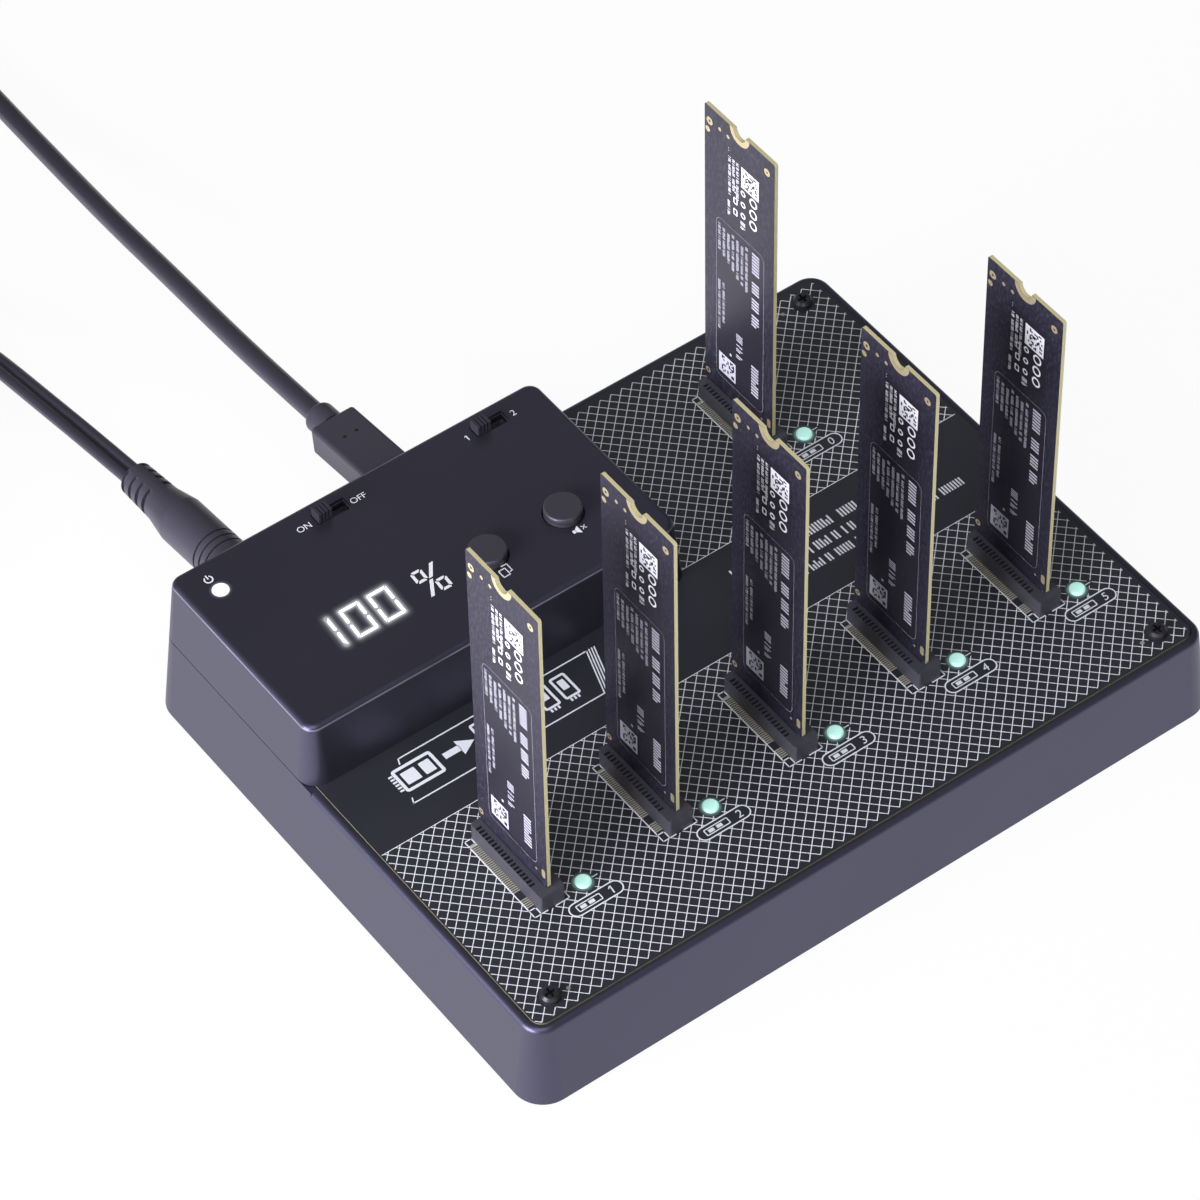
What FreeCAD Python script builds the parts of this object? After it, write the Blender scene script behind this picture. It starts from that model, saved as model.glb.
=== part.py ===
import FreeCAD, Part
import math
import os

# Drive duplicator: a shallow tray closed by a circuit board that carries one source and five
# target card sockets, with a control box on its rear left corner and two leads plugged in behind.
# Millimetres, +X to the right along the front edge, +Y to the back, +Z up.
# The origin is on the table, under the middle of the tray.

V = FreeCAD.Vector
os.makedirs("parts", exist_ok=True)

# Tray
tray_length = 166.0         # along X at the foot of the walls
tray_depth = 128.5          # along Y at the foot of the walls
tray_height = 19.9          # from the foot of the walls to the rim
tray_corner = 6.5           # upright corner radius at the foot of the walls
wall_lean = 0.11            # how far an outer wall leans in for each millimetre of height
tray_wall = 2.2
tray_floor = 2.0
rim_round = 1.3
foot_stand = 0.6            # how far the feet stand out below the tray
foot_diameter = 12.0
foot_chamfer = 0.3
foot_sunk = 0.8             # depth of the pockets that the feet are glued in
foot_inset = 14.0           # from the foot of the walls to a foot's centre

# Top board
panel_setback_x = 4.0       # from the foot of the side walls to the board's edge
panel_setback_y = 3.75      # from the foot of the front and back walls
panel_thickness = 1.6
panel_corner = 2.5
panel_proud = 0.2           # how far the board stands above the rim
panel_gap = 0.2             # around the board in its pocket
ledge_width = 2.0
ledge_depth = 3.0
panel_screw_inset_x = 6.0   # from the board's edges to its screws
panel_screw_inset_y = 4.5
main_chip_side = 12.0
main_chip_pitch = 30.0
main_chip_count = 4

# Screws
screw_head_diameter = 4.0
screw_head_height = 1.3
screw_head_chamfer = 0.5
screw_shank = 2.4
screw_hole = 2.8
screw_pilot = 2.5
screw_length = 9.0
boss_diameter = 7.0
boss_bite = 0.5             # how far a boss is sunk into the floor or ceiling that it grows from
recess_arm = 2.2            # across the cross recess in a screw head
recess_slit = 0.6
recess_depth = 1.0

# Card sockets
socket_pitch = 30.0
target_count = 5
first_target_inset = 18.95  # from the board's left edge to the first target card
target_inset = 33.4         # from the board's front edge to the middle of the target cards
source_inset_x = 36.1       # from the board's right edge to the source card
source_inset_y = 22.7       # from the board's back edge
socket_width = 5.6          # along X
socket_length = 22.7        # along Y
socket_height = 4.3
socket_back_shift = 0.85    # the housing sits this much nearer the front than the card does
socket_floor = 0.3          # plastic under the card's edge
slot_clearance = 0.1        # each side of the card
window_pitch = 1.0
window_size_x = 1.4
window_size_y = 0.55
window_depth = 0.9
window_from_card = 0.95     # from the card's face to the windows
leg_pitch = 0.5
leg_width = 0.22
leg_thickness = 0.2
leg_reach = 1.5
leg_rows = ((-1, 29), (1, 5))   # side of the key, number of legs
key_margin = 0.3            # from the key bridge's top to the end of the card's key slot

# Cards
card_width = 22.0
card_length = 80.0
card_thickness = 0.8
card_corner = 0.5
tongue_width = 19.85
tongue_length = 4.2
tongue_lift = 12.0          # how far a card rises out of its socket
key_slot_width = 1.2
key_slot_depth = 3.5
key_slot_y = -6.5           # from the card's middle
notch_radius = 1.85
chip_height = 1.1
card_chips = (              # across and up from the card's foot, then width and height
    (0.0, 16.0, 11.0, 11.0),
    (0.0, 35.0, 12.0, 18.0),
    (0.0, 57.0, 12.0, 18.0),
    (6.5, 25.5, 4.0, 4.0),
)

# Status lights on the board
light_diameter = 3.2
light_height = 0.7
light_chamfer = 0.25
light_from_card_x = 7.75
light_from_card_y = -11.0

# Control box
box_length = 90.6           # along X where it meets the board, flush with the tray at the left
box_depth = 51.5            # along Y where it meets the board, flush with the tray at the back
box_height = 15.2           # from the board to the flat top
box_wall = 2.0
box_round = 1.4
box_boss_diameter = 6.5
box_boss_left = 8.3         # from the box's left face to its screw bosses there
box_boss_right = 7.2        # from its right face
box_boss_front = 9.0        # from its front face
box_boss_behind_left = 22.0     # from its back face, clear of the corner screw of the board
box_boss_behind_right = 12.5
box_screw_length = 16.0
deep_boss_diameter = 9.0    # the tray's bosses that the box's screws come up through
deep_boss_bore = 5.4
box_screw_depth = 8.7       # from the top of the board down to the screw heads' seat

# Control board inside the box
control_stand = 6.8         # from the top board to its upper face
control_thickness = 1.6
control_margin = 1.6        # to the walls of the box
standoff_diameter = 4.5
standoff_left = 28.8        # from the box's left face
standoff_right = 26.8       # from its right face
standoff_front = 7.5        # from its front face
standoff_behind = 18.0      # from its back face
board_link_length = 25.4
board_link_depth = 5.0
board_link_left = 45.5      # from the box's left face to its middle
board_link_front = 12.0     # from the box's front face to its middle

# Slide switches
slide_behind = 6.3          # from the box's back face to the middle of the slots
slide_slot_length = 7.8
slide_slot_width = 3.2
power_slide_left = 37.0     # from the box's left face
mode_slide_right = 15.5     # from its right face
knob_length = 3.1
knob_width = 2.7
knob_stand = 2.4            # above the box
knob_gap = 0.25
knob_groove = 0.3           # width and depth of the grip grooves
switch_body_length = 12.6
switch_body_width = 5.2
switch_floor = 1.5

# Push buttons
button_diameter = 7.9
button_stand = 2.0
button_gap = 0.3
button_travel = 0.5
button_flange = 9.8
button_flange_thickness = 1.0
button_edge_round = 0.45
button_ring_width = 0.25    # the fine groove round the cap
button_ring_depth = 0.2
button_ring_drop = 1.0      # from the top of the cap to that groove
button_front = 17.5         # from the box's front face
start_button_right = 35.9   # from the box's right face
buzzer_button_right = 17.8
tact_size = 6.0
tact_height = 3.4
plunger_diameter = 3.4
plunger_depth = 1.0         # how far the plunger stands in its switch
plunger_spare = 0.4         # room under a pressed plunger, and around it

# Power light and display
lens_diameter = 3.5
lens_left = 8.5             # from the box's left face
lens_behind = 10.1          # from its back face
display_left_of_button = 22.3   # from the start button to the middle of the display
display_front = 19.4
display_length = 32.0
display_depth = 14.0
display_height = 5.0
buzzer_right = 16.8
buzzer_behind_button = 12.0
buzzer_diameter = 9.0
buzzer_height = 4.5

# Sockets and plugs behind the box
dc_left = 17.7              # from the box's left face to the power jack
dc_rise = 5.9               # from the top board up to the jack's axis
dc_jack_width = 9.0
dc_jack_depth = 13.5
dc_jack_bore = 6.0
dc_jack_back = 2.5          # plastic behind the jack's bore
jack_clearance = 0.5        # between the jack and the cut-out around it
dc_barrel = 5.5
dc_barrel_reach = 9.0       # how far the barrel goes into the jack
dc_pin = 2.0
pin_clearance = 0.15
usb_left = 56.9             # from the box's left face to the data port
usb_port_width = 8.94
usb_port_height = 3.2
usb_port_depth = 7.4
usb_shell_width = 8.25
usb_shell_height = 2.4
sheet_metal = 0.3
port_set_in = 0.3           # from the box's back face to the port's mouth
port_clearance = 0.4
port_back_wall = 0.8
usb_tongue_width = 6.6
usb_tongue_thickness = 0.7
usb_tongue_set_in = 1.2
usb_shell_reach = 6.2       # how far the plug's shell goes into the box
usb_shell_wall = 0.6
plug_opening_clearance = 0.6    # around the power plug where it enters the box
plug_droop = 5.0            # degrees that the leads' weight tips the plugs down
usb_plug_width = 10.6
usb_plug_height = 6.8
usb_plug_length = 22.0
usb_plug_yaw = 1.3          # degrees that it swings to the left
usb_plug_round = 0.9
usb_collar_diameter = 6.7
usb_collar_length = 5.4
usb_collar_round = 1.2
usb_cable_diameter = 4.4
dc_plug_diameter = 10.4
dc_plug_length = 24.0
dc_plug_yaw = 1.3
dc_relief_diameter = 8.2
dc_relief_length = 10.5
grip_chamfer = 0.4
grip_taper = 6.0            # the grip narrows to the relief over this length
grip_groove_width = 0.5
grip_groove_depth = 0.45
grip_first_groove = 2.4
grip_groove_pitch = 1.8
grip_grooves = 3
relief_slots = 4
relief_slot_width = 1.1
relief_slot_pitch = 2.5
relief_core = 6.2           # diameter that the slots leave in the middle
relief_web = 2.8            # width of the webs above and below the slots
dc_lead_width = 5.0
dc_lead_thickness = 2.5
plug_gap = 0.8              # between the box and a plug's moulding
plug_root = 1.0             # how far a plug's metal is sunk in its moulding

# Leads: routes by hand from the plugs down to the table and on to the put-away coils
usb_route = (
    (-24.7, 104.6, 20.6),
    (-24.3, 122.0, 18.4),
    (-23.0, 145.0, 14.9),
    (-21.6, 170.0, 10.6),
    (-19.5, 195.0, 6.2),
    (-18.0, 218.0, 3.3),
    (-17.3, 240.0, 2.5),
)
dc_route = (
    (-64.7, 112.0, 22.1),
    (-65.1, 128.0, 19.2),
    (-64.8, 144.0, 15.1),
    (-64.5, 160.0, 10.6),
    (-64.4, 176.0, 6.3),
    (-64.1, 190.0, 3.6),
    (-63.9, 202.0, 2.8),
)
usb_coil_y = 260.0
usb_coil_radius = 24.2      # middle of the turns
usb_coil_rows = 3
dc_coil_y = 213.0
dc_coil_radius = 27.5
dc_coil_rows = 3
coil_pitch_share = 1.03     # spacing of the turns over the lead's own thickness
lead_clearance = 0.1        # between the table and a lead that lies on it
adapter_length = 58.0
adapter_width = 34.0
adapter_height = 28.0
adapter_round = 3.0
adapter_from_coil = 22.0
adapter_relief_length = 11.0
pin_pad_length = 33.0       # the raised pad that the pins stand on
pin_pad_width = 14.0
pin_pad_height = 4.0
pin_diameter = 4.0
pin_spacing = 18.6
pin_length = 19.0
pin_tip_chamfer = 1.0
far_plug_length = 23.0
far_plug_from_coil = 21.0   # from the coil's middle to the moulding
far_relief_length = 8.0
far_plug_round = 1.2
far_plug_width = 15.5
far_plug_height = 8.4
far_shell_width = 12.0
far_shell_height = 4.5
far_shell_length = 12.0
far_shell_opening = 2.1     # the gap over the contact tongue

# Levels and places that follow from the sizes above
tray_foot_z = foot_stand
rim_z = tray_foot_z + tray_height
panel_top_z = rim_z + panel_proud
panel_under_z = panel_top_z - panel_thickness
card_bottom_z = panel_top_z + socket_floor
socket_top_z = panel_top_z + socket_height
box_top = panel_top_z + box_height
box_ceiling_z = box_top - box_wall
control_z = panel_top_z + control_stand
control_under_z = control_z - control_thickness
usb_z = control_under_z - usb_port_height / 2
dc_z = panel_top_z + dc_rise
box_screw_head_z = panel_top_z - box_screw_depth

panel_length = tray_length - 2 * panel_setback_x
panel_depth = tray_depth - 2 * panel_setback_y
first_target_x = first_target_inset - panel_length / 2
target_y = target_inset - panel_depth / 2
card_places = {"source": (panel_length / 2 - source_inset_x, panel_depth / 2 - source_inset_y)}
for target in range(target_count):
    card_places["target_%d" % (target + 1)] = (first_target_x + target * socket_pitch, target_y)

wall_in_at_board = wall_lean * (panel_top_z - tray_foot_z)
box_left = wall_in_at_board - tray_length / 2
box_back = tray_depth / 2 - wall_in_at_board
box_right = box_left + box_length
box_front = box_back - box_depth
box_bosses = (
    (box_left + box_boss_left, box_front + box_boss_front),
    (box_right - box_boss_right, box_front + box_boss_front),
    (box_right - box_boss_right, box_back - box_boss_behind_right),
    (box_left + box_boss_left, box_back - box_boss_behind_left),
)
standoffs = [(x, y) for x in (box_left + standoff_left, box_right - standoff_right)
             for y in (box_front + standoff_front, box_back - standoff_behind)]
slide_y = box_back - slide_behind
slide_slot_xs = {"power": box_left + power_slide_left, "mode": box_right - mode_slide_right}
button_y = box_front + button_front
button_xs = {"start": box_right - start_button_right, "buzzer": box_right - buzzer_button_right}
lens_x = box_left + lens_left
lens_y = box_back - lens_behind
display_x = button_xs["start"] - display_left_of_button
display_y = box_front + display_front
buzzer_x = box_right - buzzer_right
buzzer_y = button_y + buzzer_behind_button
dc_x = box_left + dc_left
usb_x = box_left + usb_left


def save(shape, node):
    shape.exportStep("parts/" + node + ".step")


def box(x0, x1, y0, y1, z0, z1):
    return Part.makeBox(x1 - x0, y1 - y0, z1 - z0, V(x0, y0, z0))


def post(x, y, diameter, z0, z1):
    return Part.makeCylinder(diameter / 2, z1 - z0, V(x, y, z0))


def rounded_outline(x0, x1, y0, y1, radius, z):
    """A closed wire: a rectangle with round corners, flat at height z."""
    corners = ((x1, y1, 0), (x0, y1, 90), (x0, y0, 180), (x1, y0, 270))
    edges = []
    ends = []
    for x, y, turn in corners:
        side_x = 1 if x == x1 else -1
        side_y = 1 if y == y1 else -1
        middle = V(x - side_x * radius, y - side_y * radius, z)
        points = []
        for angle in (turn, turn + 45, turn + 90):
            a = math.radians(angle)
            points.append(middle + V(math.cos(a), math.sin(a), 0) * radius)
        ends.append((points[0], points[2]))
        edges.append(Part.Arc(*points).toShape())
    for i in range(4):
        start = ends[i][1]
        stop = ends[(i + 1) % 4][0]
        edges.append(Part.LineSegment(start, stop).toShape())
    return Part.Wire(Part.__sortEdges__(edges))


def rounded_block(x0, x1, y0, y1, radius, z0, z1):
    face = Part.Face(rounded_outline(x0, x1, y0, y1, radius, z0))
    return face.extrude(V(0, 0, z1 - z0))


def leaning_block(x0, x1, y0, y1, radius, z0, z1):
    """A rounded block whose walls lean in by wall_lean on their way up."""
    lean = wall_lean * (z1 - z0)
    foot = rounded_outline(x0, x1, y0, y1, radius, z0)
    head = rounded_outline(x0 + lean, x1 - lean, y0 + lean, y1 - lean, max(radius - lean, 0.4), z1)
    return Part.makeLoft([foot, head], True, True)


def rounded_top(shape, z, radius):
    edges = [e for e in shape.Edges if all(abs(v.Z - z) < 1e-4 for v in e.Vertexes)]
    return shape.makeFillet(radius, edges)


def outer_half(z):
    """Half length and half depth of the tray's leaning walls at height z."""
    lean = wall_lean * (z - tray_foot_z)
    return tray_length / 2 - lean, tray_depth / 2 - lean


def corner_at(z):
    return tray_corner - wall_lean * (z - tray_foot_z)


def panel_screw_places():
    x = panel_length / 2 - panel_screw_inset_x
    y = panel_depth / 2 - panel_screw_inset_y
    return [(sx * x, sy * y) for sx in (-1, 1) for sy in (-1, 1)]


def foot_places():
    x = tray_length / 2 - foot_inset
    y = tray_depth / 2 - foot_inset
    return [(sx * x, sy * y) for sx in (-1, 1) for sy in (-1, 1)]


def make_tray():
    half_x, half_y = outer_half(tray_foot_z)
    sharp = leaning_block(-half_x, half_x, -half_y, half_y, tray_corner, tray_foot_z, rim_z)
    soft = rounded_top(sharp, rim_z, rim_round)
    under_box = box(-half_x, box_right, box_front, half_y, rim_z - 2 * rim_round, rim_z)
    tray = soft.fuse(sharp.common(under_box))
    pocket_x = panel_length / 2 + panel_gap
    pocket_y = panel_depth / 2 + panel_gap
    pocket_round = panel_corner + panel_gap
    tray = tray.cut(rounded_block(-pocket_x, pocket_x, -pocket_y, pocket_y, pocket_round,
                                  panel_under_z, rim_z + 1))
    inner_x = pocket_x - ledge_width
    inner_y = pocket_y - ledge_width
    tray = tray.cut(rounded_block(-inner_x, inner_x, -inner_y, inner_y, pocket_round,
                                  panel_under_z - ledge_depth, panel_under_z))
    floor_z = tray_foot_z + tray_floor
    cave_x, cave_y = outer_half(floor_z)
    cave_x -= tray_wall
    cave_y -= tray_wall
    tray = tray.cut(leaning_block(-cave_x, cave_x, -cave_y, cave_y, corner_at(floor_z) - tray_wall,
                                  floor_z, panel_under_z - ledge_depth))
    for x, y in panel_screw_places():
        tray = tray.fuse(post(x, y, boss_diameter, floor_z - boss_bite, panel_under_z))
        tray = tray.cut(post(x, y, screw_pilot, panel_under_z - screw_length, panel_under_z))
    for x, y in box_bosses:
        tray = tray.fuse(post(x, y, deep_boss_diameter, floor_z - boss_bite, panel_under_z))
        tray = tray.cut(post(x, y, deep_boss_bore, tray_foot_z, box_screw_head_z))
        tray = tray.cut(post(x, y, screw_hole, box_screw_head_z, panel_under_z))
    for x, y in foot_places():
        tray = tray.cut(post(x, y, foot_diameter + 0.2, tray_foot_z, tray_foot_z + foot_sunk))
    return tray.removeSplitter()


def make_feet():
    feet = []
    for x, y in foot_places():
        foot = post(x, y, foot_diameter, 0, foot_stand + foot_sunk)
        bottom = [e for e in foot.Edges if abs(e.BoundBox.ZMax) < 1e-4]
        feet.append(foot.makeChamfer(foot_chamfer, bottom))
    return Part.makeCompound(feet)


def cross_recess(x, y, z_top):
    """The cutter for a cross-head recess that opens upward at z_top."""
    arm = recess_arm / 2
    slit = recess_slit / 2
    one = box(x - arm, x + arm, y - slit, y + slit, z_top - recess_depth, z_top)
    two = box(x - slit, x + slit, y - arm, y + arm, z_top - recess_depth, z_top)
    return one.fuse(two)


def make_panel_screws():
    screws = []
    for x, y in panel_screw_places():
        head_z = panel_top_z + screw_head_height
        head = post(x, y, screw_head_diameter, panel_top_z, head_z)
        rim = [e for e in head.Edges if abs(e.BoundBox.ZMin - head_z) < 1e-4]
        head = head.makeChamfer(screw_head_chamfer, rim)
        head = head.cut(cross_recess(x, y, head_z))
        shank = post(x, y, screw_shank, panel_top_z - screw_length + 1, panel_top_z)
        screws.append(head.fuse(shank))
    return Part.makeCompound(screws)


def make_box_screws():
    screws = []
    for x, y in box_bosses:
        head = post(x, y, screw_head_diameter, box_screw_head_z - screw_head_height, box_screw_head_z)
        shank = post(x, y, screw_shank, box_screw_head_z, box_screw_head_z + box_screw_length)
        screws.append(head.fuse(shank))
    return Part.makeCompound(screws)


def make_panel():
    half_x = panel_length / 2
    half_y = panel_depth / 2
    panel = rounded_block(-half_x, half_x, -half_y, half_y, panel_corner, panel_under_z, panel_top_z)
    for x, y in panel_screw_places():
        panel = panel.cut(post(x, y, screw_hole, panel_under_z, panel_top_z))
    for x, y in box_bosses:
        panel = panel.cut(post(x, y, screw_hole, panel_under_z, panel_top_z))
    return panel


def make_socket(x, y):
    """A card socket: a bar with the card's slot and a row of contact windows on its left side."""
    front = y - socket_back_shift - socket_length / 2
    back = front + socket_length
    left = x - socket_width / 2
    right = x + socket_width / 2
    body = box(left, right, front, back, panel_top_z, socket_top_z)
    upright = [e for e in body.Edges if abs(e.BoundBox.ZMax - e.BoundBox.ZMin) > socket_height - 0.1]
    body = body.makeFillet(0.5, upright)
    half_slot = card_thickness / 2 + slot_clearance
    half_tongue = tongue_width / 2 + slot_clearance
    body = body.cut(box(x - half_slot, x + half_slot, y - half_tongue, y + half_tongue,
                        card_bottom_z, socket_top_z + 1))
    key = key_slot_width / 2 - slot_clearance
    bridge = box(x - half_slot, x + half_slot, y + key_slot_y - key, y + key_slot_y + key,
                 card_bottom_z, card_bottom_z + key_slot_depth - 3 * slot_clearance)
    body = body.fuse(bridge)
    window_x1 = x - card_thickness / 2 - window_from_card
    count = int((tongue_width - 1.0) / window_pitch)
    for i in range(count):
        window_y = y + (i - (count - 1) / 2) * window_pitch
        body = body.cut(box(window_x1 - window_size_x, window_x1,
                            window_y - window_size_y / 2, window_y + window_size_y / 2,
                            socket_top_z - window_depth, socket_top_z + 1))
    return body


def make_contacts():
    """The solder legs along the left side of every socket, left bare where the key is."""
    legs = []
    for x, y in card_places.values():
        left = x - socket_width / 2
        for side, count in leg_rows:
            for i in range(count):
                leg_y = y + key_slot_y - side * (key_slot_width + i * leg_pitch)
                legs.append(box(left - leg_reach, left, leg_y - leg_width / 2, leg_y + leg_width / 2,
                                panel_top_z, panel_top_z + leg_thickness))
    return Part.makeCompound(legs)


def make_card(x, y):
    """An M.2 card standing in its socket: gold tongue down, mounting notch up."""
    z1 = card_bottom_z + card_length
    shoulder = card_bottom_z + tongue_length
    half = card_width / 2
    x0 = x - card_thickness / 2
    x1 = x + card_thickness / 2
    blade = box(x0, x1, y - half, y + half, shoulder, z1)
    corners = [e for e in blade.Edges if abs(e.BoundBox.XMax - e.BoundBox.XMin) > card_thickness - 0.01]
    blade = blade.makeFillet(card_corner, corners)
    tongue = box(x0, x1, y - tongue_width / 2, y + tongue_width / 2, card_bottom_z, shoulder)
    card = blade.fuse(tongue)
    card = card.cut(box(x0, x1, y + key_slot_y - key_slot_width / 2, y + key_slot_y + key_slot_width / 2,
                        card_bottom_z, card_bottom_z + key_slot_depth))
    card = card.cut(Part.makeCylinder(notch_radius, card_thickness, V(x0, y, z1), V(1, 0, 0)))
    return card.removeSplitter()


def make_card_chips(x, y):
    """Controller, two memory chips and a power chip on the right-hand face of a card."""
    x0 = x + card_thickness / 2
    z = card_bottom_z
    chips = []
    for across, up, width, height in card_chips:
        chips.append(box(x0, x0 + chip_height, y + across - width / 2, y + across + width / 2,
                         z + up - height / 2, z + up + height / 2))
    return Part.makeCompound(chips)


def make_status_lights():
    lights = []
    for x, y in card_places.values():
        top = panel_top_z + light_height
        light = post(x + light_from_card_x, y + light_from_card_y, light_diameter, panel_top_z, top)
        rim = [e for e in light.Edges if abs(e.BoundBox.ZMin - top) < 1e-4]
        lights.append(light.makeChamfer(light_chamfer, rim))
    return Part.makeCompound(lights)


def box_shell():
    """The control box's outer form: four walls and a round-edged top, flush with the tray."""
    body = leaning_block(box_left, box_right, box_front, box_back, corner_at(panel_top_z),
                         panel_top_z, box_top)
    return rounded_top(body, box_top, box_round)


def back_face_y(z):
    return outer_half(z)[1]


def make_box():
    shell = box_shell()
    shell = shell.cut(leaning_block(box_left + box_wall, box_right - box_wall, box_front + box_wall,
                                    box_back - box_wall, corner_at(panel_top_z) - box_wall,
                                    panel_top_z, box_ceiling_z))
    for x, y in box_bosses:
        shell = shell.fuse(post(x, y, box_boss_diameter, panel_top_z, box_ceiling_z + boss_bite))
        shell = shell.cut(post(x, y, screw_pilot, panel_top_z, box_ceiling_z - box_wall))
    for x in button_xs.values():
        shell = shell.cut(post(x, button_y, button_diameter + 2 * button_gap, box_ceiling_z, box_top))
    for x in slide_slot_xs.values():
        shell = shell.cut(box(x - slide_slot_length / 2, x + slide_slot_length / 2,
                              slide_y - slide_slot_width / 2, slide_y + slide_slot_width / 2,
                              box_ceiling_z - 1, box_top + 1))
    shell = shell.cut(post(lens_x, lens_y, lens_diameter + 0.1, box_ceiling_z, box_top))
    back_y = back_face_y(dc_z)
    shell = shell.cut(Part.makeCylinder(dc_plug_diameter / 2 + plug_opening_clearance, 3 * box_wall,
                                        V(dc_x, back_y - 1.5 * box_wall, dc_z), V(0, 1, 0)))
    half_width = usb_port_width / 2 + port_clearance
    half_height = usb_port_height / 2 + port_clearance
    shell = shell.cut(box(usb_x - half_width, usb_x + half_width, back_y - 2 * box_wall, back_y + box_wall,
                          usb_z - half_height, usb_z + half_height))
    return shell.removeSplitter()


def control_outline():
    margin = wall_lean * control_stand + box_wall + control_margin
    return box_left + margin, box_right - margin, box_front + margin, box_back - margin


def make_control_board():
    x0, x1, y0, y1 = control_outline()
    board = box(x0, x1, y0, y1, control_under_z, control_z)
    for x, y in box_bosses:
        board = board.cut(post(x, y, box_boss_diameter + 1, control_under_z, control_z))
    half_jack = dc_jack_width / 2 + jack_clearance
    board = board.cut(box(dc_x - half_jack, dc_x + half_jack, dc_jack_face() - dc_jack_depth - jack_clearance,
                          y1, control_under_z, control_z))
    for x, y in standoffs:
        board = board.cut(post(x, y, screw_hole, control_under_z, control_z))
    return board


def make_standoffs():
    pillars = []
    for x, y in standoffs:
        hexagon = [V(x + standoff_diameter / 2 * math.cos(math.radians(60 * i)),
                     y + standoff_diameter / 2 * math.sin(math.radians(60 * i)), panel_top_z)
                   for i in range(7)]
        pillar = Part.Face(Part.makePolygon(hexagon)).extrude(V(0, 0, control_under_z - panel_top_z))
        pillars.append(pillar.cut(post(x, y, screw_pilot, panel_top_z + 1, control_under_z)))
    return Part.makeCompound(pillars)


def make_standoff_screws():
    screws = []
    for x, y in standoffs:
        head = post(x, y, screw_head_diameter, control_z, control_z + screw_head_height)
        head = head.cut(cross_recess(x, y, control_z + screw_head_height))
        screws.append(head.fuse(post(x, y, screw_shank, control_z - 4, control_z)))
    return Part.makeCompound(screws)


def make_board_link():
    """The pin header that joins the two circuit boards."""
    x0 = box_left + board_link_left - board_link_length / 2
    y0 = box_front + board_link_front - board_link_depth / 2
    return box(x0, x0 + board_link_length, y0, y0 + board_link_depth, panel_top_z, control_under_z)


def make_main_chips():
    """Bridge and controller chips soldered under the top board."""
    half = main_chip_side / 2
    chips = []
    for i in range(main_chip_count):
        x = (i - (main_chip_count - 1) / 2) * main_chip_pitch
        chips.append(box(x - half, x + half, -half, half, panel_under_z - chip_height, panel_under_z))
    return Part.makeCompound(chips)


def make_switch_body(x):
    half_x = switch_body_length / 2
    half_y = switch_body_width / 2
    top = box_ceiling_z - 0.5
    body = box(x - half_x, x + half_x, slide_y - half_y, slide_y + half_y, control_z, top)
    hollow_x = slide_slot_length / 2 + 0.4
    hollow_y = slide_slot_width / 2
    return body.cut(box(x - hollow_x, x + hollow_x, slide_y - hollow_y, slide_y + hollow_y,
                        control_z + switch_floor, top))


def make_knob(x):
    """A slide knob resting at the left end of its slot, with grip ridges on its head."""
    x0 = x - slide_slot_length / 2 + knob_gap
    x1 = x0 + knob_length
    y0 = slide_y - knob_width / 2
    y1 = slide_y + knob_width / 2
    top = box_top + knob_stand
    knob = box(x0, x1, y0, y1, control_z + switch_floor + knob_gap, top)
    core = box(x0, x1, y0 + knob_groove, y1 - knob_groove, box_top, top - knob_groove)
    for i in range(1, 4):
        groove_x = x0 + i * knob_length / 4
        slice_out = box(groove_x - knob_groove / 2, groove_x + knob_groove / 2, y0, y1, box_top, top)
        knob = knob.cut(slice_out.cut(core))
    return knob


def make_button(x):
    """A round cap with a retaining flange under the box top and a plunger down to its switch."""
    top = box_top + button_stand
    flange_z = box_ceiling_z - button_gap - button_flange_thickness
    cap = post(x, button_y, button_diameter, flange_z, top)
    rim = [e for e in cap.Edges if abs(e.BoundBox.ZMin - top) < 1e-4]
    cap = cap.makeFillet(button_edge_round, rim)
    ring_z = top - button_ring_drop
    ring = post(x, button_y, button_diameter, ring_z - button_ring_width, ring_z)
    ring = ring.cut(post(x, button_y, button_diameter - 2 * button_ring_depth,
                         ring_z - button_ring_width, ring_z))
    cap = cap.cut(ring)
    cap = cap.fuse(post(x, button_y, button_flange, flange_z, flange_z + button_flange_thickness))
    return cap.fuse(post(x, button_y, plunger_diameter, control_z + tact_height - plunger_depth, flange_z))


def make_tact_switches():
    switches = []
    for x in button_xs.values():
        half = tact_size / 2
        body = box(x - half, x + half, button_y - half, button_y + half, control_z, control_z + tact_height)
        depth = plunger_depth + button_travel + plunger_spare
        top = control_z + tact_height
        switches.append(body.cut(post(x, button_y, plunger_diameter + plunger_spare, top - depth, top)))
    return Part.makeCompound(switches)


def make_buzzer():
    return post(buzzer_x, buzzer_y, buzzer_diameter, control_z, control_z + buzzer_height)


def make_power_lens():
    return post(lens_x, lens_y, lens_diameter, control_z, box_top)


def make_display():
    half_x = display_length / 2
    half_y = display_depth / 2
    return box(display_x - half_x, display_x + half_x, display_y - half_y, display_y + half_y,
               control_z, control_z + display_height)


def dc_jack_face():
    """Where the jack's mouth stands, just inside the leaning back wall."""
    return back_face_y(dc_z + dc_jack_width / 2) - box_wall - 0.1


def make_dc_jack():
    face = dc_jack_face()
    half = dc_jack_width / 2
    body = box(dc_x - half, dc_x + half, face - dc_jack_depth, face, panel_top_z, dc_z + half)
    bore_end = face - dc_jack_depth + dc_jack_back
    bore = Part.makeCylinder(dc_jack_bore / 2, face - bore_end, V(dc_x, bore_end, dc_z), V(0, 1, 0))
    pin = Part.makeCylinder(dc_pin / 2, face - bore_end, V(dc_x, bore_end - 1, dc_z), V(0, 1, 0))
    return body.cut(bore).fuse(pin)


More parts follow.
